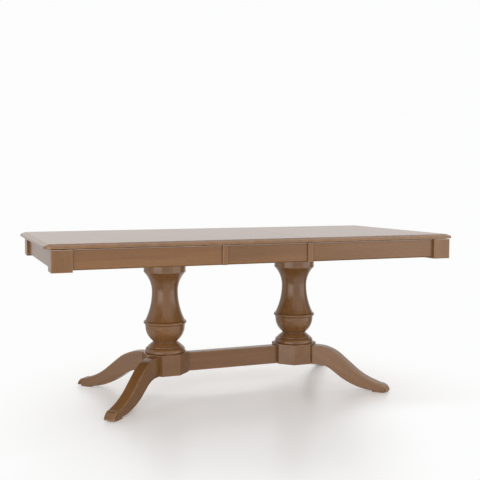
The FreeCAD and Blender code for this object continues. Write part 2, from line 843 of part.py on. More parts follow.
def column_profile():
    """The turned outline from the plinth up, as radius and height, closed along the bore."""
    bore = v.column_bore / 2
    heights = [plinth_top]
    for rise in (
        v.torus_height, v.scotia_height, v.ovolo_height, v.neck_step_height, v.neck_cove_height,
        v.neck_height, v.collar_height, v.bowl_height, v.band_height, v.ring_height,
    ):
        heights.append(heights[-1] + rise)
    (base, torus, scotia, ovolo, step, cove, neck, collar, bowl, band, ring) = heights
    shaft_height = plate_bottom - ring
    lower_flare = shaft_height * v.lower_flare_share
    upper_flare = shaft_height * v.upper_flare_share
    waist = ring + lower_flare
    cap = waist + upper_flare
    scotia_reach = v.scotia_outer_reach - v.scotia_height
    torus_round = v.torus_height / 2
    ring_round = v.ring_height / 2
    lower_radius = upright_radius(v.band_reach - v.waist_reach, lower_flare)
    upper_radius = upright_radius(v.cap_reach - v.waist_reach, upper_flare)
    return [
        (bore, base),
        (v.torus_core_reach, base, torus_round),
        (v.torus_core_reach + torus_round, base + torus_round, torus_round),
        (v.torus_core_reach, torus),
        (v.scotia_outer_reach, torus, -v.scotia_height),
        (scotia_reach, scotia, v.ovolo_radius),
        (v.ovolo_top_reach, ovolo),
        (v.ovolo_top_reach, step),
        (v.neck_step_reach, step, -v.neck_cove_radius),
        (v.neck_reach, cove),
        (v.neck_reach, neck),
        (v.collar_reach, collar, v.bowl_radius),
        (v.bowl_reach, bowl),
        (v.band_reach, bowl),
        (v.band_reach, band, ring_round),
        (v.band_reach + ring_round, band + ring_round, ring_round),
        (v.band_reach, ring, -lower_radius),
        (v.waist_reach, waist, -upper_radius),
        (v.cap_reach, cap),
        (v.cap_reach, plate_bottom),
        (bore, plate_bottom),
    ]


def upright_radius(reach, height):
    """The radius of a curve that leaves the waist upright and is out by reach at that height."""
    return (reach * reach + height * height) / (reach * 2)


def make_column(label, side):
    """A turned column with a bore for its tie bolt."""
    body = new_body(label)
    sketch = new_sketch(body, "y", ZERO, [column_profile()])
    turning = body.newObject("PartDesign::Revolution", f"{label}_turning")
    turning.Profile = sketch
    turning.ReferenceAxis = (sketch, ["V_Axis"])
    turning.Angle = ROUND
    keep(label, place(body, x=pedestal_x * side))


def octagon():
    """The plinth's outline, with flats facing the four sides."""
    flat = plinth_reach
    half = flat * tangent(v.facet_half_angle)
    return [
        (flat, -half), (flat, half), (half, flat), (-half, flat),
        (-flat, half), (-flat, -half), (-half, -flat), (half, -flat),
    ]


def make_plinth(label, side):
    """An octagonal plinth with a socket for the stretcher, dowel holes for two feet and the bolt's bore."""
    body = new_body(label)
    bottom = v.plinth_clearance
    prism(body, "z", bottom, plinth_top, [octagon()])
    bore = (ZERO, ZERO, v.tie_bolt_diameter + v.tie_hole_gap * 2)
    prism(body, "z", bottom - v.overrun, plinth_top + v.overrun, discs=[bore], cut=True)
    recess = (ZERO, ZERO, v.counterbore_diameter)
    prism(body, "z", bottom - v.overrun, bottom + v.counterbore_depth, discs=[recess], cut=True)
    inner = -plinth_reach * side
    deep = inner + (v.stub_length + v.tenon_gap) * side
    mouth = inner - v.overrun * side
    span = (mouth, deep) if side > 0 else (deep, mouth)
    prism(body, "x", *span, [stub_section(v.tenon_gap)], cut=True)
    for angle in foot_angles(side):
        drill_dowel_holes(body, angle)
    keep(label, place(body, x=pedestal_x * side))


def foot_angles(side):
    """The directions of a pedestal's feet: 45 degrees to the front and rear, away from the table's centre."""
    eighth = ROUND / 8
    return (-eighth, eighth) if side > 0 else (-HALF_TURN + eighth, HALF_TURN - eighth)


def dowel_heights():
    return (v.plinth_clearance + v.dowel_inset, plinth_top - v.dowel_inset)


def drill_dowel_holes(body, angle):
    """Two blind holes across one facet of the plinth, on a sketch turned to face it."""
    sketch = new_sketch(body, "x", ZERO)
    sketch.AttachmentOffset = FreeCAD.Placement(
        FreeCAD.Vector(), FreeCAD.Rotation(FreeCAD.Vector(0, 1, 0), angle),
    )
    for height in dowel_heights():
        draw_disc(sketch, ZERO, height, v.dowel_diameter + v.glue_gap * 2)
    before = body.Shape.Volume
    start = plinth_reach - v.dowel_embed - v.dowel_end_gap
    core = body.newObject("PartDesign::Pocket", f"{body.Name}_dowel_holes")
    core.Profile = sketch
    core.Reversed = True
    core.Type = "Length"
    bind(sketch, "AttachmentOffset.Base.x", start * sine(sized(angle)))
    bind(sketch, "AttachmentOffset.Base.z", start * cosine(sized(angle)))
    bind(core, "Length", v.dowel_embed + v.dowel_end_gap + v.overrun)
    document.recompute()
    if core.Shape.Volume >= before:
        raise RuntimeError(f"the dowel holes in {body.Name} removed nothing")


def stub_section(grow):
    half = v.stub_thickness / 2 + grow
    low = v.plinth_clearance + v.stub_shoulder - grow
    high = plinth_top - v.stretcher_drop - v.stub_shoulder + grow
    return rectangle(-half, half, low, high)


def make_stretcher():
    """The flat stretcher between the plinths, with a stub at each end in the plinth's socket."""
    body = new_body("stretcher")
    half = v.stretcher_thickness / 2
    reach = pedestal_x - plinth_reach
    top = plinth_top - v.stretcher_drop
    prism(body, "x", -reach, reach, [chamfered(-half, half, v.plinth_clearance, top, v.stretcher_arris)])
    stub_reach = reach + v.stub_length
    prism(body, "x", -stub_reach, stub_reach, [stub_section(ZERO)])
    keep("stretcher", body)


def foot_outline():
    """The foot's side view: distance from the pedestal's axis, and height.

    The top runs level, falls in an S-curve to the toe's angle, and ends in a rounded nose. The underside
    falls in an S-curve of its own to the heel of a flat sole.
    """
    root = plinth_reach
    sole = v.glide_thickness
    reach = v.foot_reach
    crest = (root + v.foot_shoulder, plinth_top)
    instep_end_height = v.toe_height + (v.instep_end - v.toe_crease) * tangent(v.toe_angle)
    instep_end = (reach - v.instep_end, instep_end_height)
    over = s_curve("foot", crest, instep_end, v.toe_angle, v.foot_crest_share, v.foot_hollow_share)
    under_crest = (root + v.arch_shoulder, v.plinth_clearance)
    heel = (reach - v.sole_length, sole)
    under = s_curve("arch", under_crest, heel, v.heel_angle, v.arch_crest_share, v.arch_hollow_share)
    return [
        (root, v.plinth_clearance), (*under_crest, -under.crest_radius), under.fall_start,
        (*under.fall_end, under.hollow_radius), heel, (reach, sole, v.nose_radius),
        (reach - v.toe_crease, v.toe_height), (*instep_end, -over.hollow_radius), over.fall_end,
        (*over.fall_start, over.crest_radius), crest, (root, plinth_top),
    ]


class SCurve:
    """The worked-out corners and radii of an S-curve."""

    def __init__(self, fall_start, fall_end, crest_radius, hollow_radius):
        self.fall_start = fall_start
        self.fall_end = fall_end
        self.crest_radius = crest_radius
        self.hollow_radius = hollow_radius


def s_curve(name, start, end, end_angle, crest_share, hollow_share):
    """A crest arc that leaves start level, a straight fall, and a hollow arc that reaches end at its angle.

    The hollow's radius is a share of the largest one, at which the two arcs meet with no straight between
    them. The crest's radius is a share of the hollow's. The straight is the line that touches both arcs, so
    it follows from the distance between their centres.
    """
    run = end[0] - start[0]
    drop = start[1] - end[1]
    across = work_out(f"{name}_across", run * run + drop * drop)
    curl = crest_share * (sized(1) - cosine(end_angle)) * 2
    lean = work_out(f"{name}_lean", drop * (cosine(end_angle) + crest_share) - run * sine(end_angle))
    largest = work_out(f"{name}_largest", (square_root(lean * lean + curl * across) - lean) / curl)
    hollow = work_out(f"{name}_hollow", largest * hollow_share)
    crest = work_out(f"{name}_crest", hollow * crest_share)
    aside = work_out(f"{name}_aside", run + hollow * sine(end_angle))
    above = work_out(f"{name}_above", crest + hollow * cosine(end_angle) - drop)
    radii = work_out(f"{name}_radii", crest + hollow)
    apart = work_out(f"{name}_apart", aside * aside + above * above)
    fall = work_out(f"{name}_fall", square_root(apart - radii * radii))
    fall_sine = work_out(f"{name}_fall_sine", (radii * aside - fall * above) / apart)
    fall_cosine = work_out(f"{name}_fall_cosine", (radii * above + fall * aside) / apart)
    fall_start = (start[0] + crest * fall_sine, start[1] - crest + crest * fall_cosine)
    fall_end = (fall_start[0] + fall * fall_cosine, fall_start[1] - fall * fall_sine)
    return SCurve(fall_start, fall_end, crest, hollow)


def make_foot(label, side, angle, outline):
    """An S-curved foot with eased edges and two dowel holes in its root."""
    body = new_body(label)
    half = v.foot_width / 2
    pad = prism(body, "y", -half, half, [outline])
    easing = body.newObject("PartDesign::Chamfer", f"{label}_easing")
    easing.Base = (pad, side_edges(pad.Shape, half.value))
    bind(easing, "Size", v.foot_arris)
    document.recompute()
    holes = [(ZERO, height, v.dowel_diameter + v.glue_gap * 2) for height in dowel_heights()]
    deep = plinth_reach + v.dowel_embed + v.dowel_end_gap
    prism(body, "x", plinth_reach - v.overrun, deep, discs=holes, cut=True)
    keep(label, place(body, x=pedestal_x * side, angle=angle))


def side_edges(shape, half):
    """The names of the long edges on both side faces, without those at the root and under the sole."""
    names = []
    root = min(vertex.X for vertex in shape.Vertexes)
    sole = min(vertex.Z for vertex in shape.Vertexes)
    for index, edge in enumerate(shape.Edges, start=1):
        low, high = edge.Vertexes[0].Point, edge.Vertexes[-1].Point
        beside = abs(abs(low.y) - half) < v.glue_gap.value and abs(low.y - high.y) < v.glue_gap.value
        on_root = max(low.x, high.x) - root < v.glue_gap.value
        on_sole = max(low.z, high.z) - sole < v.glue_gap.value
        if beside and not on_root and not on_sole:
            names.append(f"Edge{index}")
    return names


def make_foot_glides():
    """A thin pad under each toe."""
    glides = []
    x1 = v.foot_reach - v.glide_inset
    half = v.glide_width / 2
    for side in (-1, 1):
        for angle in foot_angles(side):
            body = new_body("foot_glide")
            outline = chamfered(x1 - v.glide_length, x1, -half, half, v.glide_corner)
            prism(body, "z", ZERO, v.glide_thickness, [outline])
            glides.append(place(body, x=pedestal_x * side, angle=angle))
    group("foot_glides", glides)


def make_foot_dowels():
    """Two dowels between each foot and its plinth."""
    dowels = []
    for side in (-1, 1):
        for angle in foot_angles(side):
            for height in dowel_heights():
                body = new_body("foot_dowel")
                disc = (ZERO, height, v.dowel_diameter)
                prism(body, "x", plinth_reach - v.dowel_embed, plinth_reach + v.dowel_embed, discs=[disc])
                dowels.append(place(body, x=pedestal_x * side, angle=angle))
    group("foot_dowels", dowels)


def make_plate(label, side):
    """The board on top of a column, with cut corners."""
    body = new_body(label)
    half = v.plate_size / 2
    bore = (ZERO, ZERO, v.tie_bolt_diameter + v.tie_hole_gap * 2)
    prism(body, "z", plate_bottom, bearer_bottom, [chamfered(-half, half, -half, half, v.plate_corner)], [bore])
    keep(label, place(body, x=pedestal_x * side))


def make_tie_bolt(label, side):
    """The bolt that clamps plinth, column, plate and bearer, with a washer and a nut at each end."""
    recess = v.plinth_clearance + v.counterbore_depth
    bore = (ZERO, ZERO, v.tie_bolt_diameter)
    wide = (ZERO, ZERO, v.washer_diameter)
    rod = new_body(f"{label}_rod")
    low_nut = recess - v.washer_thickness - v.nut_height
    high_nut = fixed_rail_bottom + v.washer_thickness
    low = low_nut - v.bolt_tip
    high = high_nut + v.nut_height + v.bolt_tip
    prism(rod, "z", low, high, discs=[bore])
    loose_bore = (ZERO, ZERO, v.tie_bolt_diameter + v.glue_gap * 2)
    members = [rod]
    for washer_low in (recess - v.washer_thickness, fixed_rail_bottom):
        washer = new_body(f"{label}_washer")
        prism(washer, "z", washer_low, washer_low + v.washer_thickness, discs=[wide, loose_bore])
        members.append(washer)
    for nut_low in (low_nut, high_nut):
        nut = new_body(f"{label}_nut")
        prism(nut, "z", nut_low, nut_low + v.nut_height, [hexagon(v.nut_across_flats)], [loose_bore])
        members.append(nut)
    for member in members:
        place(member, x=pedestal_x * side)
    group(label, members)


def make_halves():
    """Everything that slides out with the right half, and again, turned, for the left."""
    for hand, side in (("right", 1), ("left", -1)):
        angle = 0 if side > 0 else HALF_TURN
        make_half_top(f"{hand}_half_top", angle)
        make_seam_pins(f"{hand}_seam_pins", side)
        make_end_apron(f"{hand}_end_apron", angle)
        for front in (-1, 1):
            # Half a turn takes the front of one half to the rear of the other.
            where = "front" if front * side < 0 else "rear"
            make_corner_block(f"{where}_{hand}_corner_block", front, angle)
            make_side_apron(f"{where}_{hand}_apron", front, angle)
            make_pilaster(f"{where}_{hand}_pilaster", front, angle)
            # At the right, the front rail lies inside the fixed rail and the rear one outside it.
            make_moving_rail(f"{where}_{hand}_moving_rail", front, -1, angle)
        make_half_cleats(f"{hand}_top_cleats", side)
        make_rack(f"{hand}_rack", angle)
        make_rack_block(f"{hand}_rack_block", side)


def make_leaf():
    make_leaf_top()
    make_leaf_apron("leaf_front_apron", -1)
    make_leaf_apron("leaf_rear_apron", 1)
    make_leaf_cleats()


def make_base():
    """Everything that stands still."""
    make_fixed_rail("front_fixed_rail", -1)
    make_fixed_rail("rear_fixed_rail", 1)
    side_view = foot_outline()
    for hand, side in (("left", -1), ("right", 1)):
        where = pedestal_x * side
        make_bearer(f"{hand}_bearer", where, v.bearer_width, v.bearer_length, v.bearer_flat, True)
        make_plate(f"{hand}_pedestal_plate", side)
        make_column(f"{hand}_column", side)
        make_plinth(f"{hand}_plinth", side)
        make_tie_bolt(f"{hand}_tie_bolt", side)
        for angle in foot_angles(side):
            where = "front" if angle < 0 else "rear"
            make_foot(f"{where}_{hand}_foot", side, angle, side_view)
    centre = (v.centre_bearer_width, v.centre_bearer_length, v.bearer_flat)
    make_bearer("centre_bearer", ZERO, *centre, False, True)
    make_stretcher()
    make_foot_glides()
    make_foot_dowels()
    make_channel_block()
    make_channel()
    make_pinion()
    make_pinion_pivot()


def check_and_export():
    """Refuse anything that failed to compute, then write each sub-part to its own file."""
    document.recompute()
    for item in document.Objects:
        if "Invalid" in item.State or "Error" in item.State:
            raise RuntimeError(f"{item.Label} did not compute: {item.State}")
    for piece in nodes:
        if piece.Shape.isNull() or not piece.Shape.isValid():
            raise RuntimeError(f"{piece.Label} has no valid shape")
    os.makedirs("parts", exist_ok=True)
    for piece in nodes:
        piece.Shape.exportStep(f"parts/{piece.Label}.step")
        print(piece.Label, len(piece.Shape.Solids), round(piece.Shape.Volume / 1000, 1))
    print(len(nodes), "sub-parts")


make_halves()
make_leaf()
make_base()
check_and_export()
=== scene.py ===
"""The looks of an extending dining table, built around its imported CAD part.

Tops, aprons, turned columns, plinths, S-curved feet and the stretcher are surfaces worked out with numpy. The
slides and their gear keep their CAD solids and get finishes. Lengths are in metres, in the part's own frame.
"""

from __future__ import annotations

import logging
import math
from collections.abc import Iterable, Sequence
from dataclasses import dataclass, field
from enum import Enum

import bmesh
import bpy
import numpy as np
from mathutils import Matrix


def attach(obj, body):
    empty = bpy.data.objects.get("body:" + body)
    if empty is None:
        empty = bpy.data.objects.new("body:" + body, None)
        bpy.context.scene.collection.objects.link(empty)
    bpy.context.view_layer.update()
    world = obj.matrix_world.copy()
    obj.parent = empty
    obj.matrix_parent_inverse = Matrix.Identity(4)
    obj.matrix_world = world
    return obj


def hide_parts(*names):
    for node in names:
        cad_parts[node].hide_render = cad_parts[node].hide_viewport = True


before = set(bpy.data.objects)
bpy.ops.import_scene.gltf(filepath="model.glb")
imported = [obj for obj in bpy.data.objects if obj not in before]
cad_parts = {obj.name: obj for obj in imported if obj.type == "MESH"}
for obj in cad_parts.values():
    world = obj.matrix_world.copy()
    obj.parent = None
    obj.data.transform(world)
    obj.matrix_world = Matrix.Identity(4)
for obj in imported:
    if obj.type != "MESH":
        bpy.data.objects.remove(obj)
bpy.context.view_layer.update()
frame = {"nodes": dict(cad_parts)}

log = logging.getLogger("dining_table")

Array = np.ndarray
Pair = tuple[float, float]
Triple = tuple[float, float, float]
Colour = Triple
Material = bpy.types.Material
Mesh = bpy.types.Mesh
NodeTree = bpy.types.NodeTree
Socket = bpy.types.NodeSocket
Sockets = bpy.types.bpy_prop_collection
MM = 0.001

# Places that several sub-assemblies share
SEAM = 199.3 * MM
LEAF_HALF = 199 * MM
PEDESTAL_X = 334 * MM
PLINTH_FLAT = 101.75 * MM
PLINTH_BOTTOM = 111 * MM
PLINTH_TOP = 209.5 * MM
COLUMN_HEAD = 648.7 * MM
SOLE = 7 * MM

# Edge wear: how far beside an arris it ends, the turn that counts as a full edge, and the value that marks a rim
# for a painted highlight
WEAR_FADE = 3 * MM
FULL_EDGE = math.radians(40)
RIM_HIGHLIGHT_LEVEL = 2.0

# Meshes: the most that a curve takes of an edge and wear of a bar, the least cosine at a corner, and what counts
# as one point
EDGE_SHARE = 0.4
BAR_SHARE = 0.3
LEAST_COSINE = 0.35
MERGE_REACH = 0.002 * MM
LEAST_EDGE = 0.0001 * MM
FLAT_FACE_WEIGHT = 60


# Grain and slots

class Grain(Enum):
    """The axis that a board's grain runs along. Its value names the axes that run along, across and through."""

    LENGTH = (0, 1, 2)
    WIDTH = (1, 0, 2)
    HEIGHT = (2, 0, 1)


class Slot(Enum):
    """The record's material slots."""

    STAINED_WOOD = "stained_wood"
    PLAIN_WOOD = "plain_wood"
    ZINC_STEEL = "zinc_steel"
    GEAR_NYLON = "gear_nylon"


class Direction(Enum):
    """A choice between two directions, whose value is the sign of its coordinates."""

    @property
    def word(self) -> str:
        """The name as the nodes write it."""
        return self.name.lower()


class Side(Direction):
    """The two ends of the table."""

    RIGHT = 1
    LEFT = -1

    @property
    def order(self) -> int:
        """The side's place in a pair of values, right first."""
        return list(Side).index(self)


class Face(Direction):
    """The two long sides of the table."""

    FRONT = -1
    REAR = 1


def grain_matrix(way: Grain) -> Array:
    """The matrix that turns a position into grain coordinates.

    Args:
        way: The axis that the grain runs along.

    Returns:
        Three rows that pick the coordinate along the grain, across it and through the board.
    """
    return np.eye(3)[list(way.value)]


# Outlines

def rectangle(x: Pair, y: Pair) -> Array:
    """A rectangle's corners, from (x[0], y[0]) round, along the first axis first."""
    return np.array([(x[0], y[0]), (x[1], y[0]), (x[1], y[1]), (x[0], y[1])])


def at_heights(loops: Iterable[Array], heights: Iterable[float]) -> Array:
    """Stacks loops of (x, y) points, each a row of points at its own height."""
    return np.stack([np.column_stack([loop, np.full(len(loop), height)]) for loop, height in zip(loops, heights)])


def arc(centre: Pair, radius: float, start: float, end: float, steps: int) -> Array:
    """Points on an arc: the centre plus the radius times (cos, sin) of evenly spaced angles.

    Args:
        centre: The arc's centre.
        radius: Its radius.
        start: The angle at its first point, in degrees.
        end: The angle at its last point, in degrees.
        steps: The number of chords.

    Returns:
        An array of points, one a row.
    """
    angle = np.radians(np.linspace(start, end, steps + 1))
    return np.asarray(centre) + radius * np.stack([np.cos(angle), np.sin(angle)], -1)


def arc_between(start: Sequence[float], end: Sequence[float], radius: float, steps: int) -> Array:
    """Points on the shorter arc of a radius from start to end.

    The centre lies on the chord's perpendicular at root(radius squared - half chord squared) from its middle, on
    the left of the way for a positive radius and on the right for a negative one.

    Args:
        start: The arc's first point.
        end: Its last point.
        radius: The radius, with the sign of the turn: positive turns left.
        steps: The number of chords.

    Returns:
        An array of points, with both ends.
    """
    a, b = np.asarray(start, float), np.asarray(end, float)
    chord = b - a
    half = np.linalg.norm(chord) / 2
    left = np.array([-chord[1], chord[0]]) / (2 * half)
    reach = math.sqrt(max(radius * radius - half * half, 0.0))
    centre = (a + b) / 2 + left * reach * math.copysign(1, radius)
    from_angle = math.atan2(*(a - centre)[::-1])
    turn = 2 * math.asin(min(half / abs(radius), 1.0)) * math.copysign(1, radius)
    angle = from_angle + turn * np.linspace(0, 1, steps + 1)
    return centre + abs(radius) * np.stack([np.cos(angle), np.sin(angle)], -1)


def rounded(corners: Array, radii: float | Array, steps: int = 4, fade: float = WEAR_FADE) -> Array:
    """A closed outline whose corners are replaced by arcs that touch both edges.

    With a and b the directions to the neighbours and h half the angle between them, the arc leaves the edge at
    radius / tan(h) from the corner and its centre is radius / sin(h) away along a + b. The arc's points are the
    spherical blend of its two end radii. One more point stands on each edge beside the arc, so that an edge's
    wear ends there.

    Args:
        corners: The corners, one a row.
        radii: One radius for all, or one for each corner.
        steps: The number of chords in each arc.
        fade: How far beside the arc the wear ends.

    Returns:
        The outline's points, one a row.
    """
    corners = np.asarray(corners, float)
    radius = np.broadcast_to(np.asarray(radii, float), len(corners))[:, None]
    before, after = np.roll(corners, 1, 0) - corners, np.roll(corners, -1, 0) - corners
    before_length = np.linalg.norm(before, axis=1, keepdims=True)
    after_length = np.linalg.norm(after, axis=1, keepdims=True)
    a, b = before / before_length, after / after_length
    half = np.arccos(np.clip((a * b).sum(1, keepdims=True), -1, 1)) / 2
    back = radius / np.tan(half)
    middle = (a + b) / np.linalg.norm(a + b, axis=1, keepdims=True)
    centre = corners + middle * radius / np.sin(half)
    first, last = corners + a * back - centre, corners + b * back - centre
    sweep = (math.pi - 2 * half)[:, :, None]
    share = np.linspace(0, 1, steps + 1)[None, :, None]
    bow = np.sin((1 - share) * sweep) * first[:, None] + np.sin(share * sweep) * last[:, None]
    bow /= np.sin(sweep)
    free_before = before_length - back - np.roll(back, 1, 0)
    free_after = after_length - back - np.roll(back, -1, 0)
    lead = corners + a * (back + np.minimum(fade, EDGE_SHARE * free_before))
    trail = corners + b * (back + np.minimum(fade, EDGE_SHARE * free_after))
    return np.concatenate([lead[:, None], centre[:, None] + bow, trail[:, None]], 1).reshape(-1, 2)


def turned_ccw(outline: Array) -> Array:
    """The closed outline, walked counter-clockwise: reversed where its shoelace area is negative.

    Args:
        outline: The outline's points, one a row.

    Returns:
        The same points, in the same or the reverse order.
    """
    x, y = outline[:, 0], outline[:, 1]
    area = (x * np.roll(y, -1) - np.roll(x, -1) * y).sum()
    return outline if area > 0 else outline[::-1]


def drawn_in(outline: Array, inset: float) -> Array:
    """A closed counter-clockwise outline moved inwards by inset.

    Each point moves along the mean of its two edges' inward normals, by inset over the cosine of the angle
    between that mean and either normal.

    Args:
        outline: The outline's points, one a row.
        inset: How far each edge moves in.

    Returns:
        The points of the inner outline, in the same order.
    """
    ahead = np.roll(outline, -1, 0) - outline
    normal = np.stack([-ahead[:, 1], ahead[:, 0]], -1)
    normal /= np.linalg.norm(normal, axis=1, keepdims=True)
    mean = normal + np.roll(normal, 1, 0)
    mean /= np.linalg.norm(mean, axis=1, keepdims=True)
    cosine = np.maximum((mean * normal).sum(1, keepdims=True), LEAST_COSINE)
    return outline + mean * inset / cosine


def eased(path: Array, reach: float, steps: int = 4, sharp: float = 25.0) -> Array:
    """A path whose sharp corners are replaced by small curves.

    Each curve is the quadratic one from the point that lies reach before the corner to the point that lies reach
    behind it, with the corner as its middle control point.

    Args:
        path: The path's points, one a row.
        reach: How far from the corner a curve starts, at most EDGE_SHARE of the edge there.
        steps: The number of chords in each curve.
        sharp: The turn above which a corner counts as sharp, in degrees.

    Returns:
        The new points, one a row.
    """
    step = np.diff(path, axis=0)
    length = np.linalg.norm(step, axis=1, keepdims=True)
    way = step / length
    turn = np.degrees(np.arccos(np.clip((way[:-1] * way[1:]).sum(1), -1, 1)))
    corner = path[1:-1]
    before = corner - way[:-1] * np.minimum(reach, EDGE_SHARE * length[:-1])
    after = corner + way[1:] * np.minimum(reach, EDGE_SHARE * length[1:])
    t = np.linspace(0, 1, steps + 1)[None, :, None]
    middle = 2 * t * (1 - t) * corner[:, None]
    curve = (1 - t) ** 2 * before[:, None] + middle + t ** 2 * after[:, None]
    choice = np.concatenate([corner[:, None], curve], 1)
    chosen = np.zeros(choice.shape[:2], bool)
    chosen[:, 0] = turn <= sharp
    chosen[:, 1:] = (turn > sharp)[:, None]
    return np.concatenate([path[:1], choice[chosen], path[-1:]])


def edge_values(path: Array, closed: bool, spread: float = 1.6 * MM) -> Array:
    """How much a path turns near each of its points, from -1 in a hollow to 1 on a sharp edge.

    It is the sum of the turns at all points, each weighted by a bell of the distance along the path, over the
    turn that counts as a full edge. On a counter-clockwise outline a left turn is an edge, a right turn a hollow.

    Args:
        path: The points, one a row.
        closed: Whether the last point joins the first.
        spread: The bell's width.

    Returns:
        One value for each point.
    """
    step = (np.roll(path, -1, 0) - path) if closed else np.diff(path, axis=0)
    length = np.linalg.norm(step, axis=1)
    heading = np.arctan2(step[:, 1], step[:, 0])
    if closed:
        turn = heading - np.roll(heading, 1)
        place = np.concatenate([[0.0], np.cumsum(length)[:-1]])
    else:
        turn = np.concatenate([[0.0], np.diff(heading), [0.0]])
        place = np.concatenate([[0.0], np.cumsum(length)])
    turn = (turn + math.pi) % (2 * math.pi) - math.pi
    apart = np.abs(place[:, None] - place[None, :])
    if closed:
        apart = np.minimum(apart, length.sum() - apart)
    total = (np.exp(-0.5 * (apart / spread) ** 2) * turn[None, :]).sum(1)
    return np.clip(total / FULL_EDGE, -1, 1)


def end_stations(low: float, high: float, ease: float, steps: int = 4) -> tuple[Array, Array, Array]:
    """The places along a bar where its section stands, with eased ends.

    At angle t from 0 to 90 degrees the section stands ease * (1 - cos t) in from the end and is drawn in by
    ease * (1 - sin t).

    Args:
        low: Where the bar starts.
        high: Where it ends.
        ease: The radius of its eased ends.
        steps: The number of chords in the easing.

    Returns:
        The stations' places, their insets and their wear.
    """
    angle = np.linspace(0, math.pi / 2, steps + 1)
    depth = np.append(ease * (1 - np.cos(angle)), ease + min(WEAR_FADE, BAR_SHARE * (high - low)))
    inset = np.append(ease * (1 - np.sin(angle)), 0.0)
    wear = np.append(np.ones(steps + 1), 0.0)
    place = np.concatenate([low + depth, (high - depth)[::-1]])
    return place, np.concatenate([inset, inset[::-1]]), np.concatenate([wear, wear[::-1]])


# Meshes

@dataclass
class Shell:
    """Grids and flat ends that are gathered and then made one closed mesh."""

    points: list[Array] = field(default_factory=list)
    wear: list[Array] = field(default_factory=list)
    faces: list[list[int]] = field(default_factory=list)
    boards: list[float] = field(default_factory=list)
    count: int = 0

    def grid(self, points: Array, wear: Array | float = 0.0, board: Array | float = 0.0,
             close_rows: bool = False, close_columns: bool = False) -> Array:
        """Adds a grid of points with a face in each cell.

        Args:
            points: The points, as rows by columns by three.
            wear: The wear at each point.
            board: The board's number for all faces, or an array that spreads over rows and columns of faces.
            close_rows: Whether the last row joins the first.
            close_columns: Whether the last column joins the first.

        Returns:
            The points' numbers, as rows by columns.
        """
        rows, columns = points.shape[:2]
        numbers = np.arange(rows * columns).reshape(rows, columns) + self.count
        walk = np.vstack([numbers, numbers[:1]]) if close_rows else numbers
        walk = np.hstack([walk, walk[:, :1]]) if close_columns else walk
        cells = np.stack([walk[:-1, :-1], walk[1:, :-1], walk[1:, 1:], walk[:-1, 1:]], -1)
        self.faces += cells.reshape(-1, 4).tolist()
        self.boards += np.broadcast_to(board, cells.shape[:2]).reshape(-1).tolist()
        self.points.append(points.reshape(-1, 3))
        self.wear.append(np.broadcast_to(wear, (rows, columns)).reshape(-1))
        self.count += rows * columns
        return numbers

    def cap(self, numbers: Array, board: float = 0.0) -> None:
        """Closes a ring of points with one flat face."""
        self.faces.append(numbers.tolist())
        self.boards.append(float(board))

    def tube(self, points: Array, wear: Array | float, board: Array | float) -> None:
        """Adds a grid whose rows are closed rings, with a flat cap on the first and the last.

        Args:
            points: The points, as rows by columns by three.
            wear: The wear at each point.
            board: The board's number for all faces, or a column with one for each row of faces.
        """
        numbers = self.grid(points, wear, board, close_columns=True)
        boards = np.ravel(board)
        self.cap(numbers[0], boards[0])
        self.cap(numbers[-1][::-1], boards[-1])

    def joined(self, name: str, grain: Array) -> Mesh:
        """Makes the mesh, merges points that coincide and turns its faces outwards.

        Args:
            name: The mesh's name.
            grain: The matrix that turns a position into grain coordinates.

        Returns:
            The finished mesh.
        """
        points = np.concatenate(self.points)
        mesh = bpy.data.meshes.new(name)
        mesh.from_pydata(points.tolist(), [], self.faces)
        for label, kind, domain, key, values in (
            ("grain", "FLOAT_VECTOR", "POINT", "vector", points @ grain.T),
            # wear attribute: edge wear above 0, painted shade in hollows below 0, and a mark for a painted
            # highlight on rims
            ("wear", "FLOAT", "POINT", "value", np.concatenate(self.wear)),
            ("board", "FLOAT", "FACE", "value", np.asarray(self.boards)),
        ):
            mesh.attributes.new(label, kind, domain).data.foreach_set(key, values.astype(np.float32).ravel())
        work = bmesh.new()
        work.from_mesh(mesh)
        bmesh.ops.remove_doubles(work, verts=work.verts, dist=MERGE_REACH)
        bmesh.ops.dissolve_degenerate(work, edges=work.edges, dist=LEAST_EDGE)
        bmesh.ops.recalc_face_normals(work, faces=work.faces)
        work.to_mesh(mesh)
        work.free()
        return mesh


def add_piece(name: str, mesh: Mesh, body: str, material: Material, slot: Slot,
              nodes: Iterable[str] = (), crease: float = 34.0, weighted: bool = True) -> None:
    """Makes a piece of a mesh: smooth but for its creases, dressed, and riding on its body.

    Args:
        name: The piece's name.
        mesh: Its mesh.
        body: The CAD body that it moves with.
        material: Its finish.
        slot: The record's slot of that finish; not used.
        nodes: The CAD nodes that it stands for.
        crease: The angle above which an edge stays sharp, in degrees.
        weighted: Whether large faces keep flat shading beside small roundings.
    """
    mesh.shade_smooth()
    mesh.set_sharp_from_angle(angle=math.radians(crease))
    mesh.materials.append(material)
    piece = bpy.data.objects.new(name, mesh)
    bpy.context.scene.collection.objects.link(piece)
    if weighted:
        modifier = piece.modifiers.new("flat_faces", "WEIGHTED_NORMAL")
        modifier.keep_sharp = True
        modifier.weight = FLAT_FACE_WEIGHT
    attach(piece, body)
    if nodes:
        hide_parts(*nodes)
    log.info("%s: %d faces, rides on %s", name, len(mesh.polygons), body)


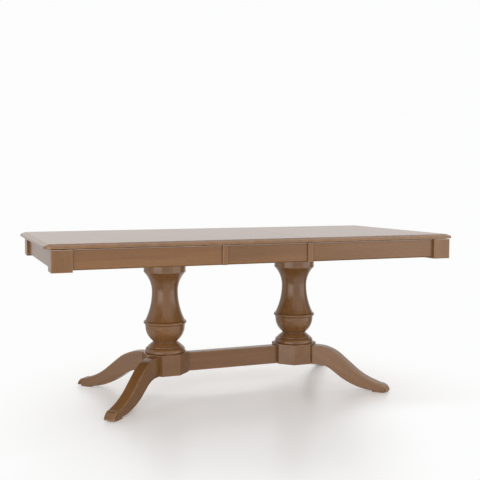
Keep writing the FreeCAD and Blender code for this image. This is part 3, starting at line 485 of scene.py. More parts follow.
def add_bar(shell: Shell, section: Array, axis: int, low: float, high: float, ease: float,
            board: float = 0.0, bare_above: float = math.inf, plain_below: float = -math.inf) -> None:
    """Adds a bar: a section carried straight along an axis, with eased ends and flat caps.

    The section's two coordinates are the other two axes in x, y, z order. The wear is the larger of the
    outline's own and the ends'.

    Args:
        shell: The shell that takes the bar.
        section: The closed outline, one point a row.
        axis: The axis it runs along: 0, 1 or 2.
        low: Where it starts.
        high: Where it ends.
        ease: The radius of the eased ends.
        board: The board's number.
        bare_above: The height above which the arrises get a painted highlight.
        plain_below: The height below which the arrises aren't rubbed.
    """
    section = turned_ccw(np.asarray(section, float))
    place, inset, wear = end_stations(low, high, ease)
    loops = np.stack([drawn_in(section, i) if i > 0 else section for i in inset])
    points = np.empty((len(place), len(section), 3))
    points[:, :, axis] = place[:, None]
    others = [a for a in range(3) if a != axis]
    points[:, :, others[0]] = loops[:, :, 0]
    points[:, :, others[1]] = loops[:, :, 1]
    own = edge_values(section, True)
    rim = np.maximum(own[None, :], wear[:, None])
    # Painted highlight: arrises above that height get the pale rim colour.
    rim = np.where(points[:, :, 2] > bare_above, RIM_HIGHLIGHT_LEVEL, rim)
    rim = np.where(points[:, :, 2] < plain_below, np.minimum(rim, 0.0), rim)
    shell.tube(points, rim, board)


# Node trees

class Tree:
    """A node tree with short calls for adding and linking nodes."""

    def __init__(self, tree: NodeTree) -> None:
        """Keeps the tree and clears it."""
        self.tree = tree
        tree.nodes.clear()

    def add(self, kind: str, values: dict[str, object] | None = None, **settings: object) -> bpy.types.Node:
        """Adds a node.

        Args:
            kind: The node's type without the ShaderNode prefix.
            values: Input names or numbers, each with a constant or an output socket.
            settings: The node's own settings.

        Returns:
            The node.
        """
        node = self.tree.nodes.new(kind if kind.startswith("Node") else f"ShaderNode{kind}")
        for key, value in settings.items():
            setattr(node, key, value)
        for key, value in (values or {}).items():
            if isinstance(value, Socket):
                self.tree.links.new(value, node.inputs[key])
            else:
                node.inputs[key].default_value = value
        return node

    def math(self, operation: str, *values: object, clamp: bool = False) -> Socket:
        """Adds a Math node on numbers or sockets and returns its output."""
        return self.add("Math", dict(enumerate(values)), operation=operation, use_clamp=clamp).outputs[0]

    def vector(self, operation: str, *values: object) -> Socket:
        """Adds a Vector Math node and returns its vector."""
        return self.add("VectorMath", dict(enumerate(values)), operation=operation).outputs[0]

    def dot(self, vector: object, way: Triple) -> Socket:
        """Adds a dot product with a fixed direction and returns it."""
        return self.add("VectorMath", {0: vector, 1: way}, operation="DOT_PRODUCT").outputs["Value"]

    def grey(self, level: object) -> Socket:
        """Adds a grey of a level and returns the colour."""
        return self.add("CombineColor", {channel: level for channel in range(3)}).outputs[0]

    def group(self, group: NodeTree, values: dict[str, object]) -> Sockets:
        """Adds a node group and returns its outputs."""
        return self.add("Group", values, node_tree=group).outputs

    def spread(self, value: object, low: float, high: float, to_low: float = 0.0,
               to_high: float = 1.0) -> Socket:
        """Adds a smooth Map Range from low..high to to_low..to_high and returns its output."""
        return self.add("MapRange", {0: value, 1: low, 2: high, 3: to_low, 4: to_high},
                        interpolation_type="SMOOTHSTEP").outputs[0]

    def noise(self, vector: object, scale: float, detail: float = 2.0, roughness: float = 0.5,
              distortion: float = 0.0) -> Socket:
        """Adds a noise texture and returns its value."""
        return self.add("TexNoise", {"Vector": vector, "Scale": scale, "Detail": detail, "Roughness": roughness,
                                     "Distortion": distortion}).outputs[0]

    def grain_noise(self, place: object, along: float, across: float, detail: float, roughness: float = 0.5,
                    distortion: float = 0.0) -> Socket:
        """Adds noise with one scale along the grain and another across it, and returns its value."""
        stretched = self.vector("MULTIPLY", place, (along, across, across))
        return self.noise(stretched, 1.0, detail, roughness, distortion)

    def ramp(self, value: object, stops: Sequence[Pair]) -> Socket:
        """Adds a curve that runs straight from each stop to the next.

        Args:
            value: The place on the curve, from 0 to 1.
            stops: The stops' places and levels.

        Returns:
            The level at the place.
        """
        node = self.add("FloatCurve", {"Factor": 1.0, "Value": value})
        curve = node.mapping.curves[0]
        node.mapping.use_clip = False
        for place, level in stops[1:-1]:
            curve.points.new(place, level)
        for point, (place, level) in zip((curve.points[0], curve.points[-1]), (stops[0], stops[-1])):
            point.location = (place, level)
        for point in curve.points:
            point.handle_type = "VECTOR"
        node.mapping.update()
        return node.outputs[0]

    def mix(self, factor: object, a: object, b: object, blend: str = "MIX") -> Socket:
        """Adds a colour mix and returns its result."""
        a, b = (colour if isinstance(colour, Socket) else (*colour, 1.0) for colour in (a, b))
        return self.add("Mix", {0: factor, 6: a, 7: b}, data_type="RGBA", blend_type=blend,
                        clamp_factor=True).outputs[2]


def new_material(name: str) -> tuple[Material, Tree, Socket]:
    """Starts a node material.

    Args:
        name: The material's name.

    Returns:
        The material, its tree helper and the object coordinates.
    """
    material = bpy.data.materials.new(name)
    material.use_nodes = True
    tree = Tree(material.node_tree)
    return material, tree, tree.add("TexCoord").outputs["Object"]


def new_group(name: str, inputs: dict[str, str],
              outputs: dict[str, str]) -> tuple[NodeTree, Tree, Sockets]:
    """Starts a shader node group.

    Args:
        name: The group's name.
        inputs: The input sockets, each with Float, Vector or Color.
        outputs: The output sockets.

    Returns:
        The group, its tree helper and the sockets that its inputs come from.
    """
    group = bpy.data.node_groups.new(name, "ShaderNodeTree")
    for way, sockets in (("INPUT", inputs), ("OUTPUT", outputs)):
        for label, kind in sockets.items():
            group.interface.new_socket(label, in_out=way, socket_type=f"NodeSocket{kind}")
    tree = Tree(group)
    return group, tree, tree.add("NodeGroupInput").outputs


def wood_figure_group() -> NodeTree:
    """Builds the wood figure: a solid texture stretched along the grain.

    Each board reads its own place in the texture. Streaks are noise stretched 16 times along the grain, fibres
    are finer, rings are bands of the warped distance from a heart beside the board, and pores are short, thin
    dashes.

    Returns:
        The node group.
    """
    group, tree, entry = new_group(
        "wood_figure", {"Grain": "Vector", "Board": "Float", "Ring Width": "Float"},
        {"Streak": "Float", "Fibre": "Float", "Ring": "Float", "Pore": "Float", "Height": "Float"})
    board_shift = (37.1, 11.3, 23.7)
    heart_depth, heart_swing, warp_reach = 0.11, 0.22, 0.06
    ring_power, ring_span, pore_span = 1.6, (0.02, 0.30), (0.63, 0.74)
    fibre_height, pore_depth = 0.5, 0.9
    place = tree.vector("ADD", entry["Grain"], tree.vector("MULTIPLY", entry["Board"], board_shift))
    streak = tree.grain_noise(place, along=1.6, across=26.0, detail=5.0, roughness=0.58, distortion=0.25)
    fibre = tree.grain_noise(place, along=40.0, across=240.0, detail=4.0, roughness=0.7)
    warp = tree.grain_noise(place, along=0.9, across=5.0, detail=2.0)
    dash = tree.grain_noise(place, along=95.0, across=1900.0, detail=1.0)
    parts = tree.add("SeparateXYZ", {0: entry["Grain"]}).outputs
    swing = tree.math("MULTIPLY", tree.math("SUBTRACT", entry["Board"], 0.5), heart_swing)
    across = tree.math("ADD", parts[1], swing)
    through = tree.math("ADD", parts[2], heart_depth)
    from_heart = tree.math("SQRT", tree.math(
        "ADD", tree.math("MULTIPLY", across, across), tree.math("MULTIPLY", through, through)))
    reach = tree.math("ADD", from_heart, tree.math("MULTIPLY", warp, warp_reach))
    turns = tree.math("DIVIDE", reach, entry["Ring Width"])
    ring = tree.spread(tree.math("POWER", tree.math("PINGPONG", turns, 0.5), ring_power), *ring_span)
    pore = tree.spread(dash, *pore_span)
    sunk = tree.math("MULTIPLY", pore, pore_depth)
    height = tree.math("SUBTRACT", tree.math("MULTIPLY", fibre, fibre_height), sunk)
    tree.add("NodeGroupOutput", {"Streak": streak, "Fibre": fibre, "Ring": ring, "Pore": pore, "Height": height})
    return group


def wear_and_painted_light_group() -> NodeTree:
    """Builds the edge wear and painted light: rubbed edges and painted shade in hollows, both broken up by
    noise, and a painted highlight along rims.

    The value runs from -1 in a hollow to 1 on an edge, and stands at the highlight level on a rim that
    gets a painted highlight.

    Returns:
        The node group.
    """
    group, tree, entry = new_group(
        "edge_wear", {"Wear": "Float", "Position": "Vector"},
        {"Rubbed": "Float", "Dusk": "Float", "Bare": "Float"})
    patch = tree.noise(entry["Position"], scale=34.0, detail=4.0, roughness=0.6)
    rim = tree.spread(entry["Wear"], 0.25, 1.0)
    rubbed = tree.math("MULTIPLY", rim, tree.spread(patch, 0.30, 0.66, to_low=0.35))
    # Painted shade: hollows darken, broken up by noise.
    hollow = tree.spread(tree.math("MULTIPLY", entry["Wear"], -1.0), 0.15, 0.95)
    painted_shade = tree.math("MULTIPLY", hollow, tree.spread(patch, 0.2, 0.8, to_low=0.75))
    # Painted highlight: a pale colour on rims marked at the highlight level.
    bare = tree.spread(entry["Wear"], 1.1, RIM_HIGHLIGHT_LEVEL - 0.1)
    tree.add("NodeGroupOutput", {"Rubbed": rubbed, "Dusk": painted_shade, "Bare": bare})
    return group


def handling_group() -> NodeTree:
    """Builds the handling marks: soft patches and a fine speckle that change the sheen.

    Returns:
        The node group.
    """
    group, tree, entry = new_group(
        "handling", {"Position": "Vector"}, {"Patch": "Float", "Speck": "Float"})
    patch = tree.spread(tree.noise(entry["Position"], scale=6.0, detail=3.0, roughness=0.55), 0.3, 0.7)
    speck = tree.spread(tree.noise(entry["Position"], scale=900.0), 0.4, 0.75)
    tree.add("NodeGroupOutput", {"Patch": patch, "Speck": speck})
    return group


@dataclass(frozen=True)
class SharedGroups:
    """The node groups that several finishes use."""

    figure: NodeTree
    wear: NodeTree
    handling: NodeTree

    @staticmethod
    def build() -> SharedGroups:
        """Builds each group once."""
        return SharedGroups(wood_figure_group(), wear_and_painted_light_group(), handling_group())


# Finishes

@dataclass(frozen=True)
class WoodFinish:
    """A wood finish: its tones from dark to light, its lacquer and the depth of its grain.

    A board's number picks its tone: the fraction of the number times board_pace, spread over board_tones.
    """

    name: str
    dark: Colour
    middle: Colour
    light: Colour
    rubbed: Colour
    # The pale colour of the painted highlight along rims.
    bare: Colour
    ring_width: float
    ring_share: float
    pore_share: float
    wear_share: float
    roughness: float
    shine: float
    coat: float
    coat_roughness: float
    relief: float
    middle_share: float = 0.45
    board_pace: float = 7.77
    board_tones: Pair = (0.93, 1.07)
    board_span: float = 0.37
    streak_span: Pair = (0.30, 0.70)
    fibre_span: Pair = (0.28, 0.72)
    fibre_tones: Pair = (0.91, 1.09)
    pore_tone: float = 0.45
    # Painted shade in hollows: its tone as a share of the dark colour, and how much of it shows.
    dusk_tone: float = 0.30
    dusk_share: float = 0.5
    polish: float = 0.04
    patch_roughness: float = 0.07
    pore_roughness: float = 0.15
    speck_height: float = 0.12
    bump_reach: float = 0.4 * MM

    def build(self, groups: SharedGroups, way: Grain | None = None) -> Material:
        """Makes the material.

        Args:
            groups: The shared node groups.
            way: The grain's axis on a CAD solid, or None for a piece with its own grain attribute.

        Returns:
            The material.
        """
        material, tree, position = new_material(self.name if way is None else f"{self.name}_{way.name.lower()}")
        if way is None:
            grain = tree.add("Attribute", attribute_name="grain").outputs["Vector"]
            board = tree.add("Attribute", attribute_name="board").outputs["Fac"]
        else:
            quarter = math.pi / 2
            turn = {Grain.LENGTH: (0, 0, 0), Grain.WIDTH: (0, 0, quarter), Grain.HEIGHT: (0, quarter, 0)}[way]
            grain = tree.add("Mapping", {"Vector": position, "Rotation": turn}).outputs[0]
            board = tree.math("PINGPONG", tree.add("SeparateXYZ", {0: position}).outputs[1], self.board_span)
        figure = tree.group(groups.figure, {"Grain": grain, "Board": board, "Ring Width": self.ring_width})
        hand = tree.group(groups.handling, {"Position": position})
        colour = tree.mix(tree.spread(figure["Streak"], *self.streak_span), self.dark, self.light)
        colour = tree.mix(self.middle_share, colour, self.middle)
        colour = tree.mix(tree.math("MULTIPLY", figure["Ring"], self.ring_share), colour, self.dark)
        pick = tree.math("FRACT", tree.math("MULTIPLY", board, self.board_pace))
        tone = tree.spread(pick, 0.0, 1.0, *self.board_tones)
        shade = tree.math("MULTIPLY", tone, tree.spread(figure["Fibre"], *self.fibre_span, *self.fibre_tones))
        colour = tree.mix(1.0, colour, tree.grey(shade), "MULTIPLY")
        pore = tree.math("MULTIPLY", figure["Pore"], self.pore_share)
        colour = tree.mix(pore, colour, tuple(self.pore_tone * c for c in self.dark))
        if way is None:
            wear = tree.add("Attribute", attribute_name="wear").outputs["Fac"]
            edge = tree.group(groups.wear, {"Position": position, "Wear": wear})
            # Edge wear, then a painted highlight on marked rims and painted shade in hollows.
            colour = tree.mix(tree.math("MULTIPLY", edge["Rubbed"], self.wear_share), colour, self.rubbed)
            colour = tree.mix(edge["Bare"], colour, self.bare)
            painted_shade = tree.math("MULTIPLY", edge["Dusk"], self.dusk_share)
            colour = tree.mix(painted_shade, colour, tuple(self.dusk_tone * c for c in self.dark))
        patch = tree.math("MULTIPLY", hand["Patch"], self.patch_roughness)
        rough = tree.math("ADD", self.roughness - self.polish, patch)
        rough = tree.math("ADD", rough, tree.math("MULTIPLY", pore, self.pore_roughness))
        height = tree.math("ADD", figure["Height"], tree.math("MULTIPLY", hand["Speck"], self.speck_height))
        bump = tree.add("Bump", {
            "Strength": self.relief, "Distance": self.bump_reach, "Height": height}).outputs[0]
        shader = tree.add("BsdfPrincipled", {
            "Base Color": colour, "Roughness": rough, "IOR": 1.5, "Specular IOR Level": self.shine,
            "Coat Weight": self.coat, "Coat Roughness": self.coat_roughness, "Coat IOR": 1.5, "Normal": bump})
        tree.add("OutputMaterial", {"Surface": shader.outputs[0]})
        return material


@dataclass(frozen=True)
class SmoothFinish:
    """A metal or plastic finish with a mottled sheen."""

    name: str
    colour: Colour
    shade: Colour
    roughness: float
    metallic: float
    mottle: float
    relief: float
    polish: float = 0.05
    patch_roughness: float = 0.10
    bump_reach: float = 0.2 * MM

    def build(self, groups: SharedGroups) -> Material:
        """Makes the material.

        Args:
            groups: The shared node groups.

        Returns:
            The material.
        """
        material, tree, position = new_material(self.name)
        hand = tree.group(groups.handling, {"Position": position})
        cloud = tree.spread(tree.noise(position, self.mottle, detail=4.0, roughness=0.6), 0.3, 0.7)
        colour = tree.mix(cloud, self.colour, self.shade)
        patch = tree.math("MULTIPLY", hand["Patch"], self.patch_roughness)
        rough = tree.math("ADD", self.roughness - self.polish, patch)
        bump = tree.add("Bump", {
            "Strength": self.relief, "Distance": self.bump_reach, "Height": hand["Speck"]}).outputs[0]
        shader = tree.add("BsdfPrincipled", {
            "Base Color": colour, "Metallic": self.metallic, "Roughness": rough, "Normal": bump})
        tree.add("OutputMaterial", {"Surface": shader.outputs[0]})
        return material


STAINED = WoodFinish(
    name="brown_lacquered_wood", dark=(0.188, 0.083, 0.027), middle=(0.232, 0.107, 0.036),
    light=(0.268, 0.129, 0.046), rubbed=(0.36, 0.205, 0.105), bare=(0.62, 0.52, 0.44), ring_width=0.012,
    ring_share=0.22, pore_share=0.35, wear_share=0.6, roughness=0.5, shine=0.0, coat=1.0, coat_roughness=0.2,
    relief=0.15)
PLAIN = WoodFinish(
    name="planed_wood", dark=(0.40, 0.26, 0.14), middle=(0.55, 0.39, 0.235), light=(0.64, 0.48, 0.31),
    rubbed=(0.68, 0.53, 0.36), bare=(0.70, 0.56, 0.39), ring_width=0.008, ring_share=0.45, pore_share=0.30,
    wear_share=0.3, roughness=0.62, shine=0.5, coat=0.0, coat_roughness=0.3, relief=0.5)
ZINC = SmoothFinish("zinc_plated_steel", (0.60, 0.60, 0.58), (0.48, 0.49, 0.50), 0.36, 1.0, 60.0, 0.15)
NYLON = SmoothFinish("moulded_nylon", (0.78, 0.76, 0.68), (0.72, 0.70, 0.61), 0.48, 0.0, 25.0, 0.10)


@dataclass
class Finishes:
    """The materials that the pieces wear. Plain wood has its grain along the table or across it."""

    stained: Material
    plain_along: Material
    plain_across: Material
    zinc: Material
    nylon: Material

    @staticmethod
    def build() -> Finishes:
        """Builds the node groups and then each finish once.

        Returns:
            The finishes.
        """
        groups = SharedGroups.build()
        along, across = (PLAIN.build(groups, way) for way in (Grain.LENGTH, Grain.WIDTH))
        return Finishes(STAINED.build(groups), along, across, ZINC.build(groups), NYLON.build(groups))


@dataclass
class Assembly:
    """A sub-assembly of the table, with the finishes that its pieces wear."""

    finishes: Finishes

    def add_stained(self, shell: Shell, name: str, body: str, node: str, grain: Array, **shading: float) -> None:
        """Makes a shell a stained piece that stands for one CAD node.

        Args:
            shell: The piece's surfaces.
            name: The piece's name.
            body: The CAD body that it moves with.
            node: The CAD node that it stands for.
            grain: The matrix that turns a position into grain coordinates.
            shading: add_piece's crease and weighted, where they differ from the usual.
        """
        mesh = shell.joined(name, grain)
        add_piece(name, mesh, body, self.finishes.stained, Slot.STAINED_WOOD, [node], **shading)


# The top

@dataclass
class TableTop(Assembly):
    """Two half tops and the leaf between them: slabs with a rounded-over bevel all round.

    The boards run across the table. Their joints are at the places in board_joints. The points across a half
    stand evenly within cross_reach, as shares of its width, with one more at each edge.
    """

    half_length: float = 945 * MM
    half_width: float = 470 * MM
    underside: float = 743 * MM
    surface: float = 762 * MM
    corner_radius: float = 38 * MM
    bevel_width: float = 23 * MM
    bevel_drop: float = 8.5 * MM
    seam: float = SEAM
    leaf_half: float = LEAF_HALF
    leaf_lift: float = 0.3 * MM
    slot_half: float = 4.8 * MM
    slot_depth: float = 14 * MM
    pin_height: float = 752 * MM
    pin_spacing: float = 300 * MM
    seam_ease: float = 0.5 * MM
    profile_reach: float = 60 * MM
    profile_radii: tuple[float, ...] = (0.05 * MM, 0.5 * MM, 0.9 * MM, 2.0 * MM, 0.05 * MM)
    profile_wear: float = 0.8
    profile_fade: float = 1.5 * MM
    flat_wear: float = 0.3
    flat_band: float = 0.2 * MM
    cross_reach: Pair = (0.02, 0.98)
    cross_points: int = 13
    board_joints: tuple[float, ...] = (-660 * MM, -445 * MM, 125 * MM, 445 * MM, 530 * MM, 742 * MM)
    narrowest_board: float = 20 * MM
    first_boards: Pair = (0.11, 0.57)
    board_step: float = 0.083
    leaf_joints: Pair = (-70 * MM, 75 * MM)
    leaf_boards: Triple = (0.31, 0.44, 0.9016)

    def edge_profile(self) -> tuple[Array, Array]:
        """The edge from the underside to the flat, as inset and height.

        It is the underside's eased arris, the upright edge, the bevel and two soft turns: rounded() on the open
        corners, with the far ends left out.

        Returns:
            The profile's points as (inset, height) rows, and the wear at each.
        """
        edge_top = self.surface - self.bevel_drop
        corners = np.array([
            (self.profile_reach, self.underside), (0.0, self.underside), (0.0, edge_top),
            (self.bevel_width, self.surface), (self.profile_reach, self.surface)])
        path = rounded(corners, np.array(self.profile_radii), steps=5, fade=self.profile_fade)
        per = len(path) // len(corners)
        path = path[per + 1:4 * per]
        turning = edge_values(path * (1, -1), False)
        return path, np.clip(turning, 0, 1) * self.profile_wear

    def side_line(self, start: float, inset: float, columns: Array) -> Array:
        """The rear edge's line from the seam to the end of its corner arc, drawn in by inset.

        Args:
            start: The seam's x.
            inset: How far the line is drawn in.
            columns: The x places of the straight part's points, as shares from the seam to the arc.

        Returns:
            The points as (x, y) rows.
        """
        x1, y1 = self.half_length - inset, self.half_width - inset
        radius = self.corner_radius - inset
        if radius <= 0:
            raise ValueError("the inset is larger than the corner's radius")
        straight = np.stack([start + (x1 - radius - start) * columns, np.full(len(columns), y1)], -1)
        return np.concatenate([straight, arc((x1 - radius, y1 - radius), radius, 90, 0, 12)[1:]])

    def add_half(self, side: Side) -> None:
        """Builds a half top.

        Each station of the edge profile is a closed ring: the rear line, the end, the front line and the seam.
        The flats above and below are grids between the rear line and the front line.

        Args:
            side: Which half.
        """
        profile, wear = self.edge_profile()
        least = self.seam + self.narrowest_board
        joints = sorted(joint * side.value for joint in self.board_joints if joint * side.value > least)
        first = self.half_length - self.corner_radius
        columns = (np.array([self.seam, *joints, first]) - self.seam) / (first - self.seam)
        cross = np.concatenate([[0.0], np.linspace(*self.cross_reach, self.cross_points), [1.0]])
        shell = Shell()
        ease_low = np.clip((self.underside + self.seam_ease - profile[:, 1]) / self.seam_ease, 0, 1)
        ease_high = np.clip((profile[:, 1] - self.surface + self.seam_ease) / self.seam_ease, 0, 1)
        starts = self.seam + self.seam_ease * np.maximum(ease_low, ease_high)
        lines = [self.side_line(start, inset, columns) for inset, start in zip(profile[:, 0], starts)]
        aside = 1 - 2 * cross[1:-1]
        rings = [np.concatenate([
            rear, np.column_stack([np.full(len(aside), rear[-1, 0]), rear[-1, 1] * aside]),
            rear[::-1] * (1, -1), np.column_stack([np.full(len(aside), rear[0, 0]), -rear[0, 1] * aside]),
        ]) for rear in lines]
        board_row = self.first_boards[side.order] + self.board_step * np.cumsum(
            np.isin(np.arange(len(lines[0]) - 1), np.arange(1, len(joints) + 1)))
        across = len(cross) - 1
        ring_boards = np.concatenate([
            board_row, np.full(across, board_row[-1]), board_row[::-1], np.full(across, board_row[0])])
        mirror = np.array([side.value, side.value, 1])
        shell.grid(at_heights(rings, profile[:, 1]) * mirror, wear[:, None], ring_boards[None, :],
                   close_columns=True)
        for end in (0, -1):
            flat = np.empty((len(cross), len(lines[end]), 3))
            flat[:, :, 0] = lines[end][None, :, 0]
            flat[:, :, 1] = lines[end][None, :, 1] * (1 - 2 * cross[:, None])
            flat[:, :, 2] = profile[end, 1]
            shell.grid(flat * mirror, wear[end] * self.flat_wear, board_row[None, :])
        name = f"{side.word}_half_top"
        self.add_stained(shell, f"{name}_boards", f"{side.word}_half", name, grain_matrix(Grain.WIDTH))

    def leaf_section(self, slotted: bool) -> Array:
        """The leaf's section across its width: flat below, upright edges, bevels and the flat.

        Three U-shaped slots open downwards. Where the leaf isn't slotted, the same points lie on the underside.

        Args:
            slotted: Whether the slots are open.

        Returns:
            The closed outline as (y, z) rows.
        """
        profile, _ = self.edge_profile()
        low = self.underside + self.leaf_lift
        front = np.stack([profile[:, 0] - self.half_width, np.maximum(profile[:, 1], low)], -1)
        rear = front[::-1] * (-1, 1)
        slots = []
        for y in (self.pin_spacing, 0.0, -self.pin_spacing):
            bow = arc((y, self.pin_height), self.slot_half, 0, 180, 8)
            shape = np.concatenate([[(y + self.slot_half, low)], bow, [(y - self.slot_half, low)]])
            if not slotted:
                shape = np.stack([shape[:, 0], np.full(len(shape), low)], -1)
            slots.append(shape)
        return np.concatenate([front, rear, *slots])

    def add_leaf(self) -> None:
        """Builds the leaf: its section carried along the table, slotted near both ends, with eased ends."""
        slotted, shut = self.leaf_section(True), self.leaf_section(False)
        inner, outer = self.leaf_half - self.slot_depth, self.leaf_half - self.seam_ease
        lowered = slotted.copy()
        lowered[slotted[:, 1] > self.surface - self.flat_band, 1] -= self.seam_ease
        stations = [(-self.leaf_half, lowered), (-outer, slotted), (-inner, slotted), (-inner, shut),
                    *((joint, shut) for joint in self.leaf_joints),
                    (inner, shut), (inner, slotted), (outer, slotted), (self.leaf_half, lowered)]
        points = np.stack([np.column_stack([np.full(len(section), x), section]) for x, section in stations])
        boards = np.repeat(self.leaf_boards, (4, 1, 4))
        profile_wear = self.edge_profile()[1]
        wear = np.concatenate([profile_wear, profile_wear[::-1], np.zeros(len(slotted) - 2 * len(profile_wear))])
        shell = Shell()
        shell.tube(points, wear[None, :], boards[:, None])
        self.add_stained(shell, "leaf_boards", "leaf", "leaf_top", grain_matrix(Grain.WIDTH))

    def build(self) -> None:
        """Builds both half tops and the leaf."""
        for side in Side:
            self.add_half(side)
        self.add_leaf()


# The apron frame

@dataclass
class ApronFrame(Assembly):
    """Side and end aprons, corner blocks, and the pilasters that cover the seams.

    The photograph's shadow gap is 3 mm high, so the boards reach 2.4 mm above their solids. Each board's number
    picks its tone and its place in the grain: the side aprons count up from first_board by board_step, and the
    end apron, the block and the pilaster beside them stand a little off.
    """

    top: float = 740.0 * MM
    bottom: float = 656.1 * MM
    block_bottom: float = 649.1 * MM
    seam: float = SEAM
    leaf_half: float = LEAF_HALF
    side_face: float = 453 * MM
    side_back: float = 430.5 * MM
    lap_gap: float = 0.3 * MM
    end_face: float = 909 * MM
    end_back: float = 884.5 * MM
    block_x: Pair = (836 * MM, 921 * MM)
    block_y: Pair = (382 * MM, 467 * MM)
    chamfer: float = 4.5 * MM
    pilaster_x: Pair = (188 * MM, 209.4 * MM)
    pilaster_face: float = 462.5 * MM
    apron_radii: tuple[float, ...] = (1.4 * MM, 0.6 * MM, 0.6 * MM, 1.0 * MM, 1.0 * MM)
    apron_ease: float = 0.6 * MM
    leaf_apron_ease: float = 0.5 * MM
    block_radius: float = 2.2 * MM
    block_ease: float = 2.0 * MM
    pilaster_radii: tuple[float, ...] = (0.4 * MM, 0.4 * MM, 1.8 * MM, 1.8 * MM)
    pilaster_ease: float = 0.35 * MM
    rim: float = 1.5 * MM
    first_board: float = -0.0122
    board_step: float = 0.16665
    end_off: float = 0.1929
    block_off: float = 0.0296
    pilaster_off: float = 0.0432
    leaf_board: float = 0.6213
    leaf_board_off: float = 0.1

    def apron_section(self, face: float, back: float) -> Array:
        """An apron's section: a board whose lower outside arris is cut at 45 degrees, all arrises eased.

        Args:
            face: The outside face's place.
            back: The inside face's place.

        Returns:
            The closed outline as (across, height) rows.
        """
        cut = math.copysign(self.chamfer, face - back)
        corners = np.array([
            (face, self.top), (face, self.bottom + self.chamfer), (face - cut, self.bottom),
            (back, self.bottom), (back, self.top)])
        return rounded(corners, np.array(self.apron_radii), steps=3)

    def add_board(self, name: str, node: str, body: str, section: Array, way: Grain, span: Pair, ease: float,
                  board: float) -> None:
        """Builds one straight piece of the frame. Its upper rim gets a painted highlight, and a lying board's
        lower edge stays unworn.

        Args:
            name: The piece's name.
            node: The CAD node that it stands for.
            body: The CAD body that it moves with.
            section: Its section.
            way: The axis that it runs along, as its grain does.
            span: Where it starts and ends.
            ease: The radius of its eased ends.
            board: Its board's number.
        """
        shell = Shell()
        # Painted highlight along the upper rim; a lying board's lower edge gets no wear.
        unworn = -math.inf if way is Grain.HEIGHT else self.bottom + self.chamfer + self.rim
        add_bar(shell, section, way.value[0], *span, ease, board, self.top - self.rim, unworn)
        self.add_stained(shell, name, body, node, grain_matrix(way))

    def build(self) -> None:
        """Builds the frame of both halves and the leaf's two aprons."""
        board = self.first_board
        for side in Side:
            sign, body = side.value, f"{side.word}_half"
            self.add_board(f"{side.word}_end_apron_board", f"{side.word}_end_apron", body,
                           self.apron_section(self.end_face * sign, self.end_back * sign), Grain.WIDTH,
                           (-self.block_y[0], self.block_y[0]), self.apron_ease, board + self.end_off)
            for face in Face:
                place = f"{face.word}_{side.word}"
                corner = np.array([sign, face.value])
                board += self.board_step
                low, high = sorted((self.seam * sign, self.block_x[0] * sign))
                self.add_board(f"{place}_apron_board", f"{place}_apron", body,
                               self.apron_section(self.side_face * face.value, self.side_back * face.value),
                               Grain.LENGTH, (low, high), self.apron_ease, board)
                block = rounded(rectangle(self.block_x, self.block_y) * corner, self.block_radius)
                self.add_board(f"{place}_block", f"{place}_corner_block", body, block, Grain.HEIGHT,
                               (self.block_bottom, self.top), self.block_ease, board + self.block_off)
                strip = rectangle(self.pilaster_x, (self.side_face, self.pilaster_face)) * corner
                self.add_board(f"{place}_pilaster_strip", f"{place}_pilaster", body,
                               rounded(strip, np.array(self.pilaster_radii), steps=3), Grain.HEIGHT,
                               (self.bottom, self.top), self.pilaster_ease, board + self.pilaster_off)
        for face in Face:
            lapped = self.side_face - self.lap_gap
            section = self.apron_section(lapped * face.value, self.side_back * face.value)
            self.add_board(f"leaf_{face.word}_apron_board", f"leaf_{face.word}_apron", "leaf", section,
                           Grain.LENGTH, (-self.leaf_half, self.leaf_half), self.leaf_apron_ease,
                           self.leaf_board + self.leaf_board_off * face.value)


# The pedestals

